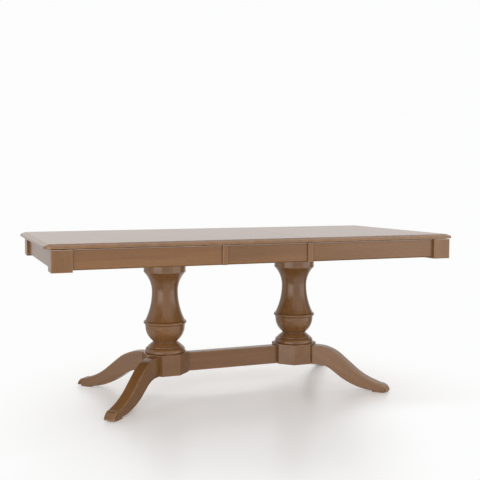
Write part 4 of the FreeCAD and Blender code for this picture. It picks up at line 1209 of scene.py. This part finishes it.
@dataclass
class Column(Assembly):
    """A turned column, revolved about its pedestal's axis."""

    pedestal_x: float = PEDESTAL_X
    bore: float = 7 * MM
    foot: float = PLINTH_TOP
    bead_foot: float = 92 * MM
    bead: Pair = (94 * MM, 5 * MM)
    bead_radius: float = 5.5 * MM
    belt_height: float = 3.5 * MM
    ovolo: Pair = (80 * MM, 18 * MM)
    ovolo_radius: float = 19 * MM
    fillet: Pair = (77 * MM, 3.5 * MM)
    slope_height: float = 17.5 * MM
    slope_radius: float = 60 * MM
    neck: Pair = (57 * MM, 2 * MM)
    collar: Pair = (58.8 * MM, 3.5 * MM)
    bowl: Pair = (92.6 * MM, 70.5 * MM)
    bowl_radius: float = 88 * MM
    band: Pair = (93.6 * MM, 10 * MM)
    ring_height: float = 15 * MM
    waist: float = 61 * MM
    cap: float = 98.5 * MM
    head: float = COLUMN_HEAD
    flare_shares: Pair = (0.476, 0.314)
    arris: float = 0.45 * MM
    segments: int = 112
    wear_spread: float = 1.1 * MM
    collar_rim: float = 2 * MM
    crease: float = 28.0
    boards: Pair = (0.78, 0.35)

    def rises(self) -> Array:
        """The heights at which the ten lower mouldings end, from the bead up to the ring."""
        return self.foot + np.cumsum([
            self.bead[1], self.belt_height, self.ovolo[1], self.fillet[1], self.slope_height, self.neck[1],
            self.collar[1], self.bowl[1], self.band[1], self.ring_height])

    def profile(self) -> Array:
        """The turned outline from the plinth up: a chain of straight fillets and arcs.

        Bead, belt, quarter round, fillet, slope, neck, collar, bowl, band, ring, then two arcs that meet upright
        at the waist, and the cap. A flare's radius is (reach squared + height squared) / (2 reach).

        Returns:
            The outline as (radius, height) rows, from the bore's foot to its top.
        """
        bead, belt, ovolo, fillet, slope, neck, collar, bowl, band, ring = self.rises()
        lower, upper = ((self.head - ring) * share for share in self.flare_shares)
        swell, flare = self.band[0] - self.waist, self.cap - self.waist
        half_ring = self.ring_height / 2
        return eased(np.concatenate([
            [(self.bore, self.foot)],
            arc_between((self.bead_foot, self.foot), (self.bead[0], bead), self.bead_radius, 12),
            arc_between((self.bead[0], belt), (self.ovolo[0], ovolo), self.ovolo_radius, 18),
            [(self.ovolo[0], fillet)],
            arc_between((self.fillet[0], fillet), (self.neck[0], slope), self.slope_radius, 16),
            [(self.neck[0], neck)],
            arc_between((self.collar[0], collar), (self.bowl[0], bowl), self.bowl_radius, 30),
            [(self.band[0], bowl)],
            arc((self.band[0], band + half_ring), half_ring, -90, 90, 18),
            arc_between((self.band[0], ring), (self.waist, ring + lower),
                        -(swell ** 2 + lower ** 2) / (2 * swell), 30)[1:],
            arc_between((self.waist, ring + lower), (self.cap, ring + lower + upper),
                        -(flare ** 2 + upper ** 2) / (2 * flare), 24)[1:],
            [(self.cap, self.head), (self.bore, self.head)],
        ]), self.arris)

    def add(self, side: Side) -> None:
        """Builds a column: the profile's radius turned through evenly spaced angles, closed along the bore.

        Args:
            side: Which pedestal.
        """
        profile = self.profile()
        angle = np.linspace(0, 2 * math.pi, self.segments, endpoint=False)
        points = np.empty((len(profile), self.segments, 3))
        points[:, :, 0] = self.pedestal_x * side.value + profile[:, :1] * np.cos(angle)
        points[:, :, 1] = profile[:, :1] * np.sin(angle)
        points[:, :, 2] = profile[:, 1:]
        # Edge wear on the mouldings' edges, and painted shade in their hollows where the value is negative.
        wear = edge_values(profile, True, self.wear_spread)
        # Painted highlight: a band round the collar gets full edge wear, so its rubbed colour shows as a pale
        # line.
        collar_middle = self.rises()[6] - self.collar[1] / 2
        beside_neck = profile[:, 0] > (self.neck[0] + self.collar[0]) / 2
        wear[beside_neck & (abs(profile[:, 1] - collar_middle) < self.collar_rim)] = 1.0
        shell = Shell()
        shell.grid(points, wear[:, None], self.boards[side.order], close_rows=True, close_columns=True)
        self.add_stained(shell, f"{side.word}_turned_column", "base", f"{side.word}_column",
                         grain_matrix(Grain.HEIGHT), crease=self.crease, weighted=False)


@dataclass
class Plinth(Assembly):
    """An octagonal plinth with eased arrises and a counterbore for the tie bolt's nut."""

    pedestal_x: float = PEDESTAL_X
    flat: float = PLINTH_FLAT
    bottom: float = PLINTH_BOTTOM
    top: float = PLINTH_TOP
    ease: float = 2.4 * MM
    counterbore: float = 18 * MM
    counterbore_top: float = 129 * MM
    bore: float = 5.5 * MM
    rim: float = 0.5 * MM
    rim_wear: float = 0.6
    bore_wear: float = -0.5
    corner_radius: float = 2.6 * MM
    corner_wear: float = 0.45
    column_reach: float = 96 * MM
    # Board numbers that give both plinths the darkest board tone: painted shade.
    boards: Pair = (0.91, 0.13)
    shaded_facets: tuple[tuple[int, ...], tuple[int, ...]] = ((1, 4, 7), (0, 3, 5, 7))

    def add(self, side: Side) -> None:
        """Builds a plinth from rings that share their angles.

        The outer rings are the octagon drawn in by ease * (1 - sin t) at ease * (1 - cos t) from the top or
        bottom. The inner rings are circles through the same angles. Painted shade darkens both edges of the
        shaded facets, chosen for each pedestal and counted from the one that faces +X.

        Args:
            side: Which pedestal.
        """
        half = self.flat * math.tan(math.radians(22.5))
        corners = np.array([
            (self.flat, -half), (self.flat, half), (half, self.flat), (-half, self.flat),
            (-self.flat, half), (-self.flat, -half), (-half, -self.flat), (half, -self.flat)])
        outline = rounded(corners, self.corner_radius, steps=3)
        place, inset, wear = end_stations(self.bottom, self.top, self.ease)
        unit = outline / np.linalg.norm(outline, axis=1, keepdims=True)
        # The counterbore's inner rings get painted shade, its lower rim edge wear.
        hole = [(self.bore, self.counterbore_top, self.bore_wear),
                (self.counterbore, self.counterbore_top, self.bore_wear),
                (self.counterbore, self.bottom + self.rim, self.rim_wear),
                (self.counterbore + self.rim, self.bottom, self.rim_wear)]
        loops = [unit * radius for radius, _, _ in hole]
        loops += [*(drawn_in(outline, i) for i in inset), unit * self.column_reach, unit * self.bore]
        points = at_heights(loops, [*(height for _, height, _ in hole), *place, self.top, self.top])
        points[:, :, 0] += self.pedestal_x * side.value
        own = edge_values(outline, True)
        per = len(outline) // len(corners)
        own[own > 0] *= self.corner_wear
        # Painted shade along both edges of each chosen facet.
        for facet in self.shaded_facets[side.order]:
            own[[(facet + 1) * per - 1, (facet + 1) * per % len(outline)]] = -1.0
        rim = np.zeros(points.shape[:2])
        rim[:len(hole)] = np.array([worn for _, _, worn in hole])[:, None]
        rim[len(hole):-2] = np.maximum(wear[:, None] * (own >= 0), own[None, :])
        shell = Shell()
        shell.grid(points, rim, self.boards[side.order], close_rows=True, close_columns=True)
        self.add_stained(shell, f"{side.word}_octagon_plinth", "base", f"{side.word}_plinth",
                         grain_matrix(Grain.WIDTH))


@dataclass
class Feet(Assembly):
    """Four S-curved feet with eased arrises, and the pads under their toes."""

    pedestal_x: float = PEDESTAL_X
    root: float = PLINTH_FLAT
    width: float = 52 * MM
    reach: float = 484.5 * MM
    sole: float = SOLE
    crest: Pair = (127.75 * MM, 202 * MM)
    instep_end: Pair = (415 * MM, 51.2475 * MM)
    crease: Pair = (445 * MM, 41.5 * MM)
    nose_radius: float = 38.5 * MM
    arch_crest: Pair = (131.75 * MM, PLINTH_BOTTOM)
    heel: Pair = (405 * MM, SOLE)
    instep_angle: float = 18.0
    instep_shares: Pair = (0.60, 0.93)
    heel_angle: float = 4.0
    heel_shares: Pair = (0.394, 0.985)
    ball: float = 450 * MM
    nick_foot: Pair = (0.3 * MM, 1.1 * MM)
    nick_back: float = 1.4 * MM
    ease: float = 3.2 * MM
    wear_reach: float = 5 * MM
    nick_wear: float = -0.1
    side_pace: float = 0.17
    face_pace: float = 0.31
    grain_fall: float = 27.0
    pad_length: float = 65 * MM
    pad_width: float = 49 * MM
    pad_corner: float = 15 * MM
    pad_inset: float = 14 * MM
    pad_ease: float = 1.2 * MM
    pad_board: float = 0.2
    pad_pace: float = 0.13

    def placed(self, side: Side, face: Face, reach: Array, aside: Array | float, height: Array | float) -> Array:
        """Turns a foot's own coordinates into the table's.

        The reach runs along the diagonal that leads out of the pedestal, and aside runs to its left.

        Args:
            side: Which pedestal.
            face: The table's front or rear.
            reach: The distances from the pedestal's axis.
            aside: The distances from the foot's middle.
            height: The heights.

        Returns:
            The points.
        """
        heading = math.atan2(face.value, side.value)
        cosine, sine = math.cos(heading), math.sin(heading)
        x = self.pedestal_x * side.value + reach * cosine - aside * sine
        return np.stack(np.broadcast_arrays(x, reach * sine + aside * cosine, height), -1)

    def s_curve(self, start: Pair, end: Pair, end_angle: float, crest_share: float, hollow_share: float) -> Array:
        """A crest arc that leaves start level, a straight fall, and a hollow arc that reaches end at its angle.

        The hollow's radius is a share of the largest one, at which the arcs meet with no straight between them,
        and the crest's radius is a share of the hollow's. The straight is the line that touches both circles.

        Args:
            start: Where the crest starts.
            end: Where the hollow ends.
            end_angle: The slope there, in degrees.
            crest_share: The crest's radius over the hollow's.
            hollow_share: The hollow's radius over the largest one.

        Returns:
            The points from start to end.
        """
        run, drop = end[0] - start[0], start[1] - end[1]
        sine, cosine = math.sin(math.radians(end_angle)), math.cos(math.radians(end_angle))
        curl = crest_share * (1 - cosine) * 2
        lean = drop * (cosine + crest_share) - run * sine
        largest = (math.sqrt(lean * lean + curl * (run * run + drop * drop)) - lean) / curl
        hollow = largest * hollow_share
        crest = hollow * crest_share
        aside, above = run + hollow * sine, crest + hollow * cosine - drop
        apart = aside * aside + above * above
        fall = math.sqrt(apart - (crest + hollow) ** 2)
        fall_sine = ((crest + hollow) * aside - fall * above) / apart
        fall_cosine = ((crest + hollow) * above + fall * aside) / apart
        fall_start = (start[0] + crest * fall_sine, start[1] - crest + crest * fall_cosine)
        fall_end = (fall_start[0] + fall * fall_cosine, fall_start[1] - fall * fall_sine)
        return np.concatenate([
            arc_between(start, fall_start, -crest, 22), arc_between(fall_end, end, hollow, 22)])

    def side_view(self) -> Array:
        """The foot's side view as a closed outline, counter-clockwise, as (reach, height) rows.

        A shallow nick stands where the toe's cap begins.

        Returns:
            The outline's points.
        """
        over = self.s_curve(self.crest, self.instep_end, self.instep_angle, *self.instep_shares)
        under = self.s_curve(self.arch_crest, self.heel, self.heel_angle, *self.heel_shares)
        nose = arc_between((self.reach, self.sole), self.crease, self.nose_radius, 20)
        slope = math.tan(math.radians(self.instep_angle))
        nick = np.array([(self.nick_foot[0], -self.nick_foot[1]), (-self.nick_back, self.nick_back * slope)])
        return np.concatenate([
            [(self.root, self.arch_crest[1])], under, [(self.ball, self.sole)], nose[:-1], nick + self.crease,
            over[::-1], [(self.root, self.crest[1])]])

    def add(self, side: Side, face: Face) -> None:
        """Builds a foot: its side view carried across its width, drawn in along a quarter circle at both sides.

        Args:
            side: Which pedestal.
            face: The table's front or rear.
        """
        outline = turned_ccw(self.side_view())
        half = self.width / 2
        place, inset, wear = end_stations(-half, half, self.ease, steps=5)

        def stood(loop: Array, aside: float) -> Array:
            """The loop's points on a plane aside from the foot's middle."""
            return self.placed(side, face, loop[:, 0], aside, loop[:, 1])

        board = self.side_pace * (side.value + 2) + self.face_pace * (face.value + 1)
        # Painted shade in the outline's hollows, such as the nick at the toe's cap; the side arrises get edge
        # wear.
        hollow = np.minimum(edge_values(outline, True), 0.0)[None, :]
        rim = np.where(hollow < self.nick_wear, hollow, wear[:, None])
        shell = Shell()
        shell.grid(np.stack([stood(drawn_in(outline, i), y) for i, y in zip(inset, place)]), rim, board,
                   close_columns=True)
        rings = [drawn_in(outline, self.ease), drawn_in(outline, self.ease + self.wear_reach)]
        for aside in (-half, half):
            edge = shell.grid(np.stack([stood(ring, aside) for ring in rings]), np.array([[1.0], [0.0]]), board,
                              close_columns=True)
            shell.cap(edge[1] if aside < 0 else edge[1][::-1], board)
        tilt = math.radians(self.grain_fall)
        sine, cosine = math.sin(tilt), math.cos(tilt)
        origin = self.placed(side, face, np.zeros(1), 0.0, 0.0)
        grain = self.placed(side, face, np.array([cosine, sine, 0.0]), np.array([0.0, 0.0, 1.0]),
                            np.array([-sine, cosine, 0.0])) - origin
        name = f"{face.word}_{side.word}"
        self.add_stained(shell, f"{name}_curved_foot", "base", f"{name}_foot", grain)

    def add_pads(self) -> None:
        """Builds the four pads: wooden plates with rounded corners and eased lower arrises."""
        shell = Shell()
        toe, half = self.reach - self.pad_inset, self.pad_width / 2
        corners = rectangle((toe - self.pad_length, toe), (-half, half))
        outline = turned_ccw(rounded(corners, self.pad_corner, steps=8))
        place, inset, wear = end_stations(0.0, self.sole, self.pad_ease)
        loops = [drawn_in(outline, i) for i in inset]
        for side in Side:
            for face in Face:
                points = np.stack([
                    self.placed(side, face, loop[:, 0], loop[:, 1], z) for loop, z in zip(loops, place)])
                shell.tube(points, wear[:, None], self.pad_board + self.pad_pace * side.value * face.value)
        self.add_stained(shell, "toe_pads", "base", "foot_glides", grain_matrix(Grain.LENGTH))


@dataclass
class Pedestals(Assembly):
    """Both pedestals and the stretcher between them."""

    stretcher_reach: float = PEDESTAL_X - PLINTH_FLAT
    stretcher_half: float = 23 * MM
    stretcher_z: Pair = (PLINTH_BOTTOM, 199 * MM)
    stretcher_corner: float = 2.4 * MM
    stretcher_ease: float = 1.6 * MM
    stretcher_board: float = 0.52

    def build(self) -> None:
        """Builds columns, plinths, feet, pads and the stretcher."""
        column, plinth, feet = Column(self.finishes), Plinth(self.finishes), Feet(self.finishes)
        for side in Side:
            column.add(side)
            plinth.add(side)
            for face in Face:
                feet.add(side, face)
        feet.add_pads()
        outline = rectangle((-self.stretcher_half, self.stretcher_half), self.stretcher_z)
        shell = Shell()
        add_bar(shell, rounded(outline, self.stretcher_corner), 0, -self.stretcher_reach, self.stretcher_reach,
                self.stretcher_ease, self.stretcher_board)
        self.add_stained(shell, "stretcher_board", "base", "stretcher", grain_matrix(Grain.LENGTH))


# The slides and what holds them

@dataclass
class Mechanism(Assembly):
    """The CAD solids of the slides, bearers, gear and bolts, which keep their shapes and get finishes."""

    length_wise: tuple[str, ...] = (
        "front_fixed_rail", "rear_fixed_rail", "front_left_moving_rail", "front_right_moving_rail",
        "rear_left_moving_rail", "rear_right_moving_rail", "left_top_cleats", "right_top_cleats", "leaf_cleats",
        "left_rack_block", "right_rack_block", "channel_block", "left_seam_pins", "right_seam_pins",
        "foot_dowels", "left_pedestal_plate", "right_pedestal_plate")
    cross_wise: tuple[str, ...] = ("left_bearer", "right_bearer", "centre_bearer")
    steel: tuple[str, ...] = ("left_tie_bolt", "right_tie_bolt", "rack_guide_channel", "pinion_pivot")
    nylon: tuple[str, ...] = ("left_rack", "right_rack", "pinion")

    def dress(self, nodes: dict[str, bpy.types.Object]) -> None:
        """Gives each kept CAD node its finish.

        Args:
            nodes: The CAD nodes by name.
        """
        for names, material, slot in (
            (self.length_wise, self.finishes.plain_along, Slot.PLAIN_WOOD),
            (self.cross_wise, self.finishes.plain_across, Slot.PLAIN_WOOD),
            (self.steel, self.finishes.zinc, Slot.ZINC_STEEL), (self.nylon, self.finishes.nylon, Slot.GEAR_NYLON),
        ):
            for name in names:
                node = nodes[name]
                node.data.materials.clear()
                node.data.materials.append(material)
                log.info("%s: CAD solid dressed in %s", name, material.name)


@dataclass
class Screws(Assembly):
    """Round-headed screws with a cross recess, under cleats, rails and plates."""

    radius: float = 4.2 * MM
    height: float = 2.2 * MM
    recess: float = 1.3 * MM
    turn: float = 0.7
    shares: tuple[float, ...] = (1.0, 1.0, 0.8, 0.56, 0.5, 0.16, 0.0)
    lifts: tuple[float, ...] = (0.0, 0.35, 0.75, 0.92, 0.94, 1.0, 1.0)
    cleat_x: tuple[float, ...] = (260 * MM, 440 * MM, 620 * MM, 800 * MM)
    cleat_y: Pair = (-418 * MM, 418 * MM)
    cleat_z: float = 718 * MM
    end_cleat_x: float = 872 * MM
    end_cleat_y: tuple[float, ...] = (-300 * MM, 0.0, 300 * MM)
    leaf_cleat_x: tuple[float, ...] = (-140 * MM, 0.0, 140 * MM)
    leaf_cleat_z: float = 718.3 * MM
    centre_bearer_x: Pair = (-25 * MM, 25 * MM)
    bearer_x: Pair = (PEDESTAL_X - 25 * MM, PEDESTAL_X + 25 * MM)
    bearer_y: Pair = (-190 * MM, 190 * MM)
    bearer_z: float = 668.7 * MM
    plate_x: Pair = (PEDESTAL_X - 88 * MM, PEDESTAL_X + 88 * MM)
    plate_y: Pair = (-60 * MM, 60 * MM)
    plate_z: float = COLUMN_HEAD

    def head(self) -> Array:
        """One screw head that points down: a dome over a polar grid, sunk where the cross is.

        The rings' radii are shares of the radius, and their heights are lifts of the height. The recess is sunk
        on every fourth ray from the fifth ring inwards, and all over the innermost two rings.

        Returns:
            The grid's points, from the rim to the middle.
        """
        shares, lift = np.array(self.shares), np.array(self.lifts)
        angle = np.linspace(0, 2 * math.pi, 16, endpoint=False)
        depth = np.zeros((len(shares), len(angle)))
        depth[4:, ::4] = self.recess
        depth[5:] = self.recess
        points = np.empty((len(shares), len(angle), 3))
        points[:, :, 0] = self.radius * shares[:, None] * np.cos(angle)
        points[:, :, 1] = self.radius * shares[:, None] * np.sin(angle)
        points[:, :, 2] = -(self.height * lift[:, None] - depth)
        return points

    @staticmethod
    def rows(xs: Iterable[float], ys: Iterable[float], height: float) -> list[Triple]:
        """The places at which rows of x and y cross, at one height."""
        return [(x, y, height) for x in xs for y in ys]

    def add(self, name: str, body: str, places: Sequence[Triple]) -> None:
        """Builds the screw heads of one body as one piece, each turned a little further than the last.

        Args:
            name: The piece's name.
            body: The body that they move with.
            places: Where each head sits, on the face that it holds.
        """
        head = self.head()
        shell = Shell()
        for number, place in enumerate(places):
            cosine, sine = math.cos(self.turn * number), math.sin(self.turn * number)
            spun = head @ np.array([(cosine, sine, 0), (-sine, cosine, 0), (0, 0, 1)])
            numbers = shell.grid(spun + np.asarray(place), 0.0, 0.0, close_columns=True)
            shell.cap(numbers[0])
        mesh = shell.joined(name, grain_matrix(Grain.LENGTH))
        add_piece(name, mesh, body, self.finishes.zinc, Slot.ZINC_STEEL, weighted=False)

    def build(self) -> None:
        """Builds the heads under the cleats, the bearers and the plates."""
        for side in Side:
            xs = [x * side.value for x in self.cleat_x]
            places = self.rows(xs, self.cleat_y, self.cleat_z)
            places += self.rows([self.end_cleat_x * side.value], self.end_cleat_y, self.cleat_z)
            self.add(f"{side.word}_half_screws", f"{side.word}_half", places)
        self.add("leaf_screws", "leaf", self.rows(self.leaf_cleat_x, self.cleat_y, self.leaf_cleat_z))
        places = self.rows([x * sign for sign in (-1, 1) for x in self.bearer_x], self.bearer_y, self.bearer_z)
        places += self.rows([x * sign for sign in (-1, 1) for x in self.plate_x], self.plate_y, self.plate_z)
        places += self.rows(self.centre_bearer_x, self.bearer_y, self.bearer_z)
        self.add("base_screws", "base", places)


# The studio

@dataclass(frozen=True)
class Lamp:
    """A soft box: its name, where it hangs, its width and height, and its power in watts."""

    name: str
    place: Triple
    size: Pair
    power: float

    def hang(self, aim: Triple) -> None:
        """Makes the lamp, turned towards its aim and unseen in reflections.

        Args:
            aim: The point that it faces.
        """
        data = bpy.data.lights.new(self.name, "AREA")
        data.shape = "RECTANGLE"
        data.size, data.size_y = self.size
        data.energy = self.power
        lamp = bpy.data.objects.new(self.name, data)
        lamp.location = self.place
        x, y, z = np.asarray(aim) - np.asarray(self.place)
        lamp.rotation_euler = (math.atan2(math.hypot(x, y), -z), 0.0, math.atan2(y, x) - math.pi / 2)
        lamp.visible_glossy = False
        bpy.context.scene.collection.objects.link(lamp)


@dataclass
class Studio:
    """A pale floor, soft lamps, a plain world and the camera at the photograph's viewing angle.

    The levels of the room and of its soft boxes are steps over the bearing in degrees, counted from the
    photograph's side, to the right. Lengths without a unit are metres, angles degrees.
    """

    camera_place: Triple = (-1.3379, -3.5919, 0.9884)
    yaw: float = 21.05
    pitch: float = 3.89
    lens: float = 59.62
    white: Colour = (0.972, 0.978, 0.974)
    soft_light: float = 0.65
    floor_glow: float = 0.13
    floor_half: float = 9.0
    floor_tone: Colour = (0.985, 0.98, 0.97)
    floor_roughness: float = 0.3
    fade_middle: Triple = (0.0, 0.35, 0.0)
    fade_shape: Triple = (1.0, 0.75, 0.0)
    fade_reach: Pair = (0.45, 1.4)
    beside_way: Triple = (0.933, -0.359, 0.0)
    beside_reach: Pair = (0.35, 0.85)
    beside_depth: Pair = (-0.70, -0.40)
    room_levels: tuple[Pair, ...] = (
        (-180, 0.90), (-161, 0.90), (-155, 0.66), (-115, 0.66), (-108, 0.95), (-62, 0.95), (-57, 0.42),
        (-13, 0.45), (-8, 1.08), (46, 1.08), (51, 1.0), (98, 1.0), (103, 0.33), (120, 0.33), (134, 0.22),
        (142, 0.90), (180, 0.90))
    box_levels: tuple[Pair, ...] = (
        (-180, 0.0), (-60, 0.0), (-56, 2.3), (-13, 2.3), (-9, 0.0), (46, 0.0), (52, 1.1), (96, 1.1), (101, 0.0),
        (180, 0.0))
    box_rise: Pair = (-14.0, 9.0)
    box_blur: float = 3.5
    ground_fade: Pair = (-62.0, -30.0)
    ground_level: float = 0.04
    lamp_aim: Triple = (0.0, 0.0, 0.45)
    lamps: tuple[Lamp, ...] = (
        Lamp("rear_left_box", (-3.6, 5.4, 6.6), (3.6, 3.6), 60.0),
        Lamp("rear_right_box", (4.6, 5.4, 6.0), (3.6, 3.6), 170.0),
        Lamp("front_left_box", (-4.6, -7.0, 3.4), (4.0, 4.0), 156.0),
        Lamp("front_right_box", (4.6, -7.0, 3.4), (4.0, 4.0), 35.0),
        Lamp("front_low_box", (-1.0, -8.5, 1.2), (5.0, 2.0), 46.0))

    def add_camera(self) -> None:
        """Makes the camera: turned by yaw from +Y towards +X and tipped down by pitch, on a 36 mm sensor."""
        data = bpy.data.cameras.new("photo_camera")
        data.sensor_width = 36.0
        data.lens = self.lens
        data.clip_start, data.clip_end = 0.05, 60.0
        camera = bpy.data.objects.new("photo_camera", data)
        camera.location = self.camera_place
        camera.rotation_euler = (math.radians(90 - self.pitch), 0.0, math.radians(-self.yaw))
        bpy.context.scene.collection.objects.link(camera)
        bpy.context.scene.camera = camera

    def add_floor(self) -> None:
        """Makes the floor, which keeps the table's shadow and is see-through from below.

        It turns into plain white where it is far from the table: where its place, moved by fade_middle and
        shrunk by fade_shape, is long, and also at both sides of the picture behind the front feet.
        """
        half = self.floor_half
        mesh = bpy.data.meshes.new("studio_floor")
        corners = rectangle((-half, half), (-half, half))
        mesh.from_pydata([(x, y, 0.0) for x, y in corners.tolist()], [], [(0, 1, 2, 3)])
        floor = bpy.data.objects.new("studio_floor", mesh)
        bpy.context.scene.collection.objects.link(floor)
        material, tree, position = new_material("studio_floor")
        moved = tree.vector("MULTIPLY", tree.vector("ADD", position, self.fade_middle), self.fade_shape)
        distance = tree.add("VectorMath", {0: moved}, operation="LENGTH").outputs["Value"]
        path = tree.add("LightPath").outputs
        seen = tree.math("MAXIMUM", path["Is Camera Ray"], path["Is Glossy Ray"])
        seen = tree.math("MAXIMUM", seen, path["Is Transmission Ray"])
        depth = tree.add("SeparateXYZ", {0: position}).outputs[1]
        aside = tree.math("ABSOLUTE", tree.dot(position, self.beside_way))
        beside = tree.math("MULTIPLY", tree.spread(aside, *self.beside_reach),
                           tree.spread(depth, *self.beside_depth, 1.0, 0.0))
        away = tree.math("MULTIPLY", seen, tree.math("MAXIMUM", beside, tree.spread(distance, *self.fade_reach)))
        near = tree.add("BsdfPrincipled", {
            "Base Color": (*self.floor_tone, 1.0), "Roughness": self.floor_roughness, "IOR": 1.5,
            "Emission Color": (1.0, 1.0, 1.0, 1.0),
            "Emission Strength": tree.math("MULTIPLY", seen, self.floor_glow)})
        plain = tree.add("Emission", {"Color": (*self.white, 1.0), "Strength": 1.0})
        mixed = tree.add("MixShader", {0: away, 1: near.outputs[0], 2: plain.outputs[0]})
        under = tree.math("MULTIPLY", tree.add("NewGeometry").outputs["Backfacing"], path["Is Camera Ray"])
        clear = tree.add("BsdfTransparent")
        mixed = tree.add("MixShader", {0: under, 1: mixed.outputs[0], 2: clear.outputs[0]})
        tree.add("OutputMaterial", {"Surface": mixed.outputs[0]})
        mesh.materials.append(material)
        floor.visible_glossy = False

    def add_world(self) -> None:
        """Makes the world: white to the camera, soft studio light, and soft boxes in what gloss reflects.

        The reflected light is the room's level at the direction's bearing, fading out towards the ground, plus
        the soft boxes' level where the direction's rise lies within box_rise.
        """
        world = bpy.data.worlds.new("studio_world")
        world.use_nodes = True
        bpy.context.scene.world = world
        tree = Tree(world.node_tree)
        direction = tree.add("TexCoord").outputs["Generated"]
        yaw = math.radians(self.yaw)
        ahead = tree.dot(direction, (-math.sin(yaw), -math.cos(yaw), 0.0))
        aside = tree.dot(direction, (math.cos(yaw), -math.sin(yaw), 0.0))
        turn = tree.math("MULTIPLY_ADD", tree.math("ARCTAN2", aside, ahead), 0.5 / math.pi, 0.5)
        rise = tree.math("ARCSINE", tree.add("SeparateXYZ", {0: direction}).outputs[2])
        room, boxes = (tree.ramp(turn, [((bearing + 180) / 360, level) for bearing, level in levels])
                       for levels in (self.room_levels, self.box_levels))
        low, high = np.radians(self.box_rise).tolist()
        blur = math.radians(self.box_blur)
        inside = tree.math("MULTIPLY", tree.spread(rise, low - blur, low + blur),
                           tree.spread(rise, high - blur, high + blur, 1.0, 0.0))
        below = tree.spread(rise, *np.radians(self.ground_fade).tolist(), self.ground_level, 1.0)
        level = tree.math("ADD", tree.math("MULTIPLY", room, below), tree.math("MULTIPLY", boxes, inside))
        path = tree.add("LightPath").outputs
        seen = tree.math("MAXIMUM", path["Is Camera Ray"], path["Is Transmission Ray"])
        gloss = tree.math("SUBTRACT", path["Is Glossy Ray"], seen, clamp=True)
        colour = tree.mix(seen, tree.mix(gloss, (1.0, 1.0, 1.0), tree.grey(level)), self.white)
        full = tree.math("MAXIMUM", gloss, seen)
        dimmed = tree.math("MULTIPLY", tree.math("SUBTRACT", 1.0, full), self.soft_light)
        strength = tree.math("ADD", full, dimmed)
        light = tree.add("Background", {"Color": colour, "Strength": strength})
        tree.add("OutputWorld", {"Surface": light.outputs[0]})

    def build(self) -> None:
        """Builds the camera, the floor, the world and the lamps."""
        self.add_camera()
        self.add_floor()
        self.add_world()
        for lamp in self.lamps:
            lamp.hang(self.lamp_aim)
            log.info("%s: %.0f W", lamp.name, lamp.power)
        bpy.context.scene.view_settings.view_transform = "Standard"


def main() -> None:
    """Builds the table, sub-assembly by sub-assembly, and then the studio."""
    logging.basicConfig(level=logging.INFO, format="%(name)s: %(message)s")
    finishes = Finishes.build()
    TableTop(finishes).build()
    ApronFrame(finishes).build()
    Pedestals(finishes).build()
    Mechanism(finishes).dress(frame["nodes"])
    Screws(finishes).build()
    Studio().build()


if __name__ == "__main__":
    main()
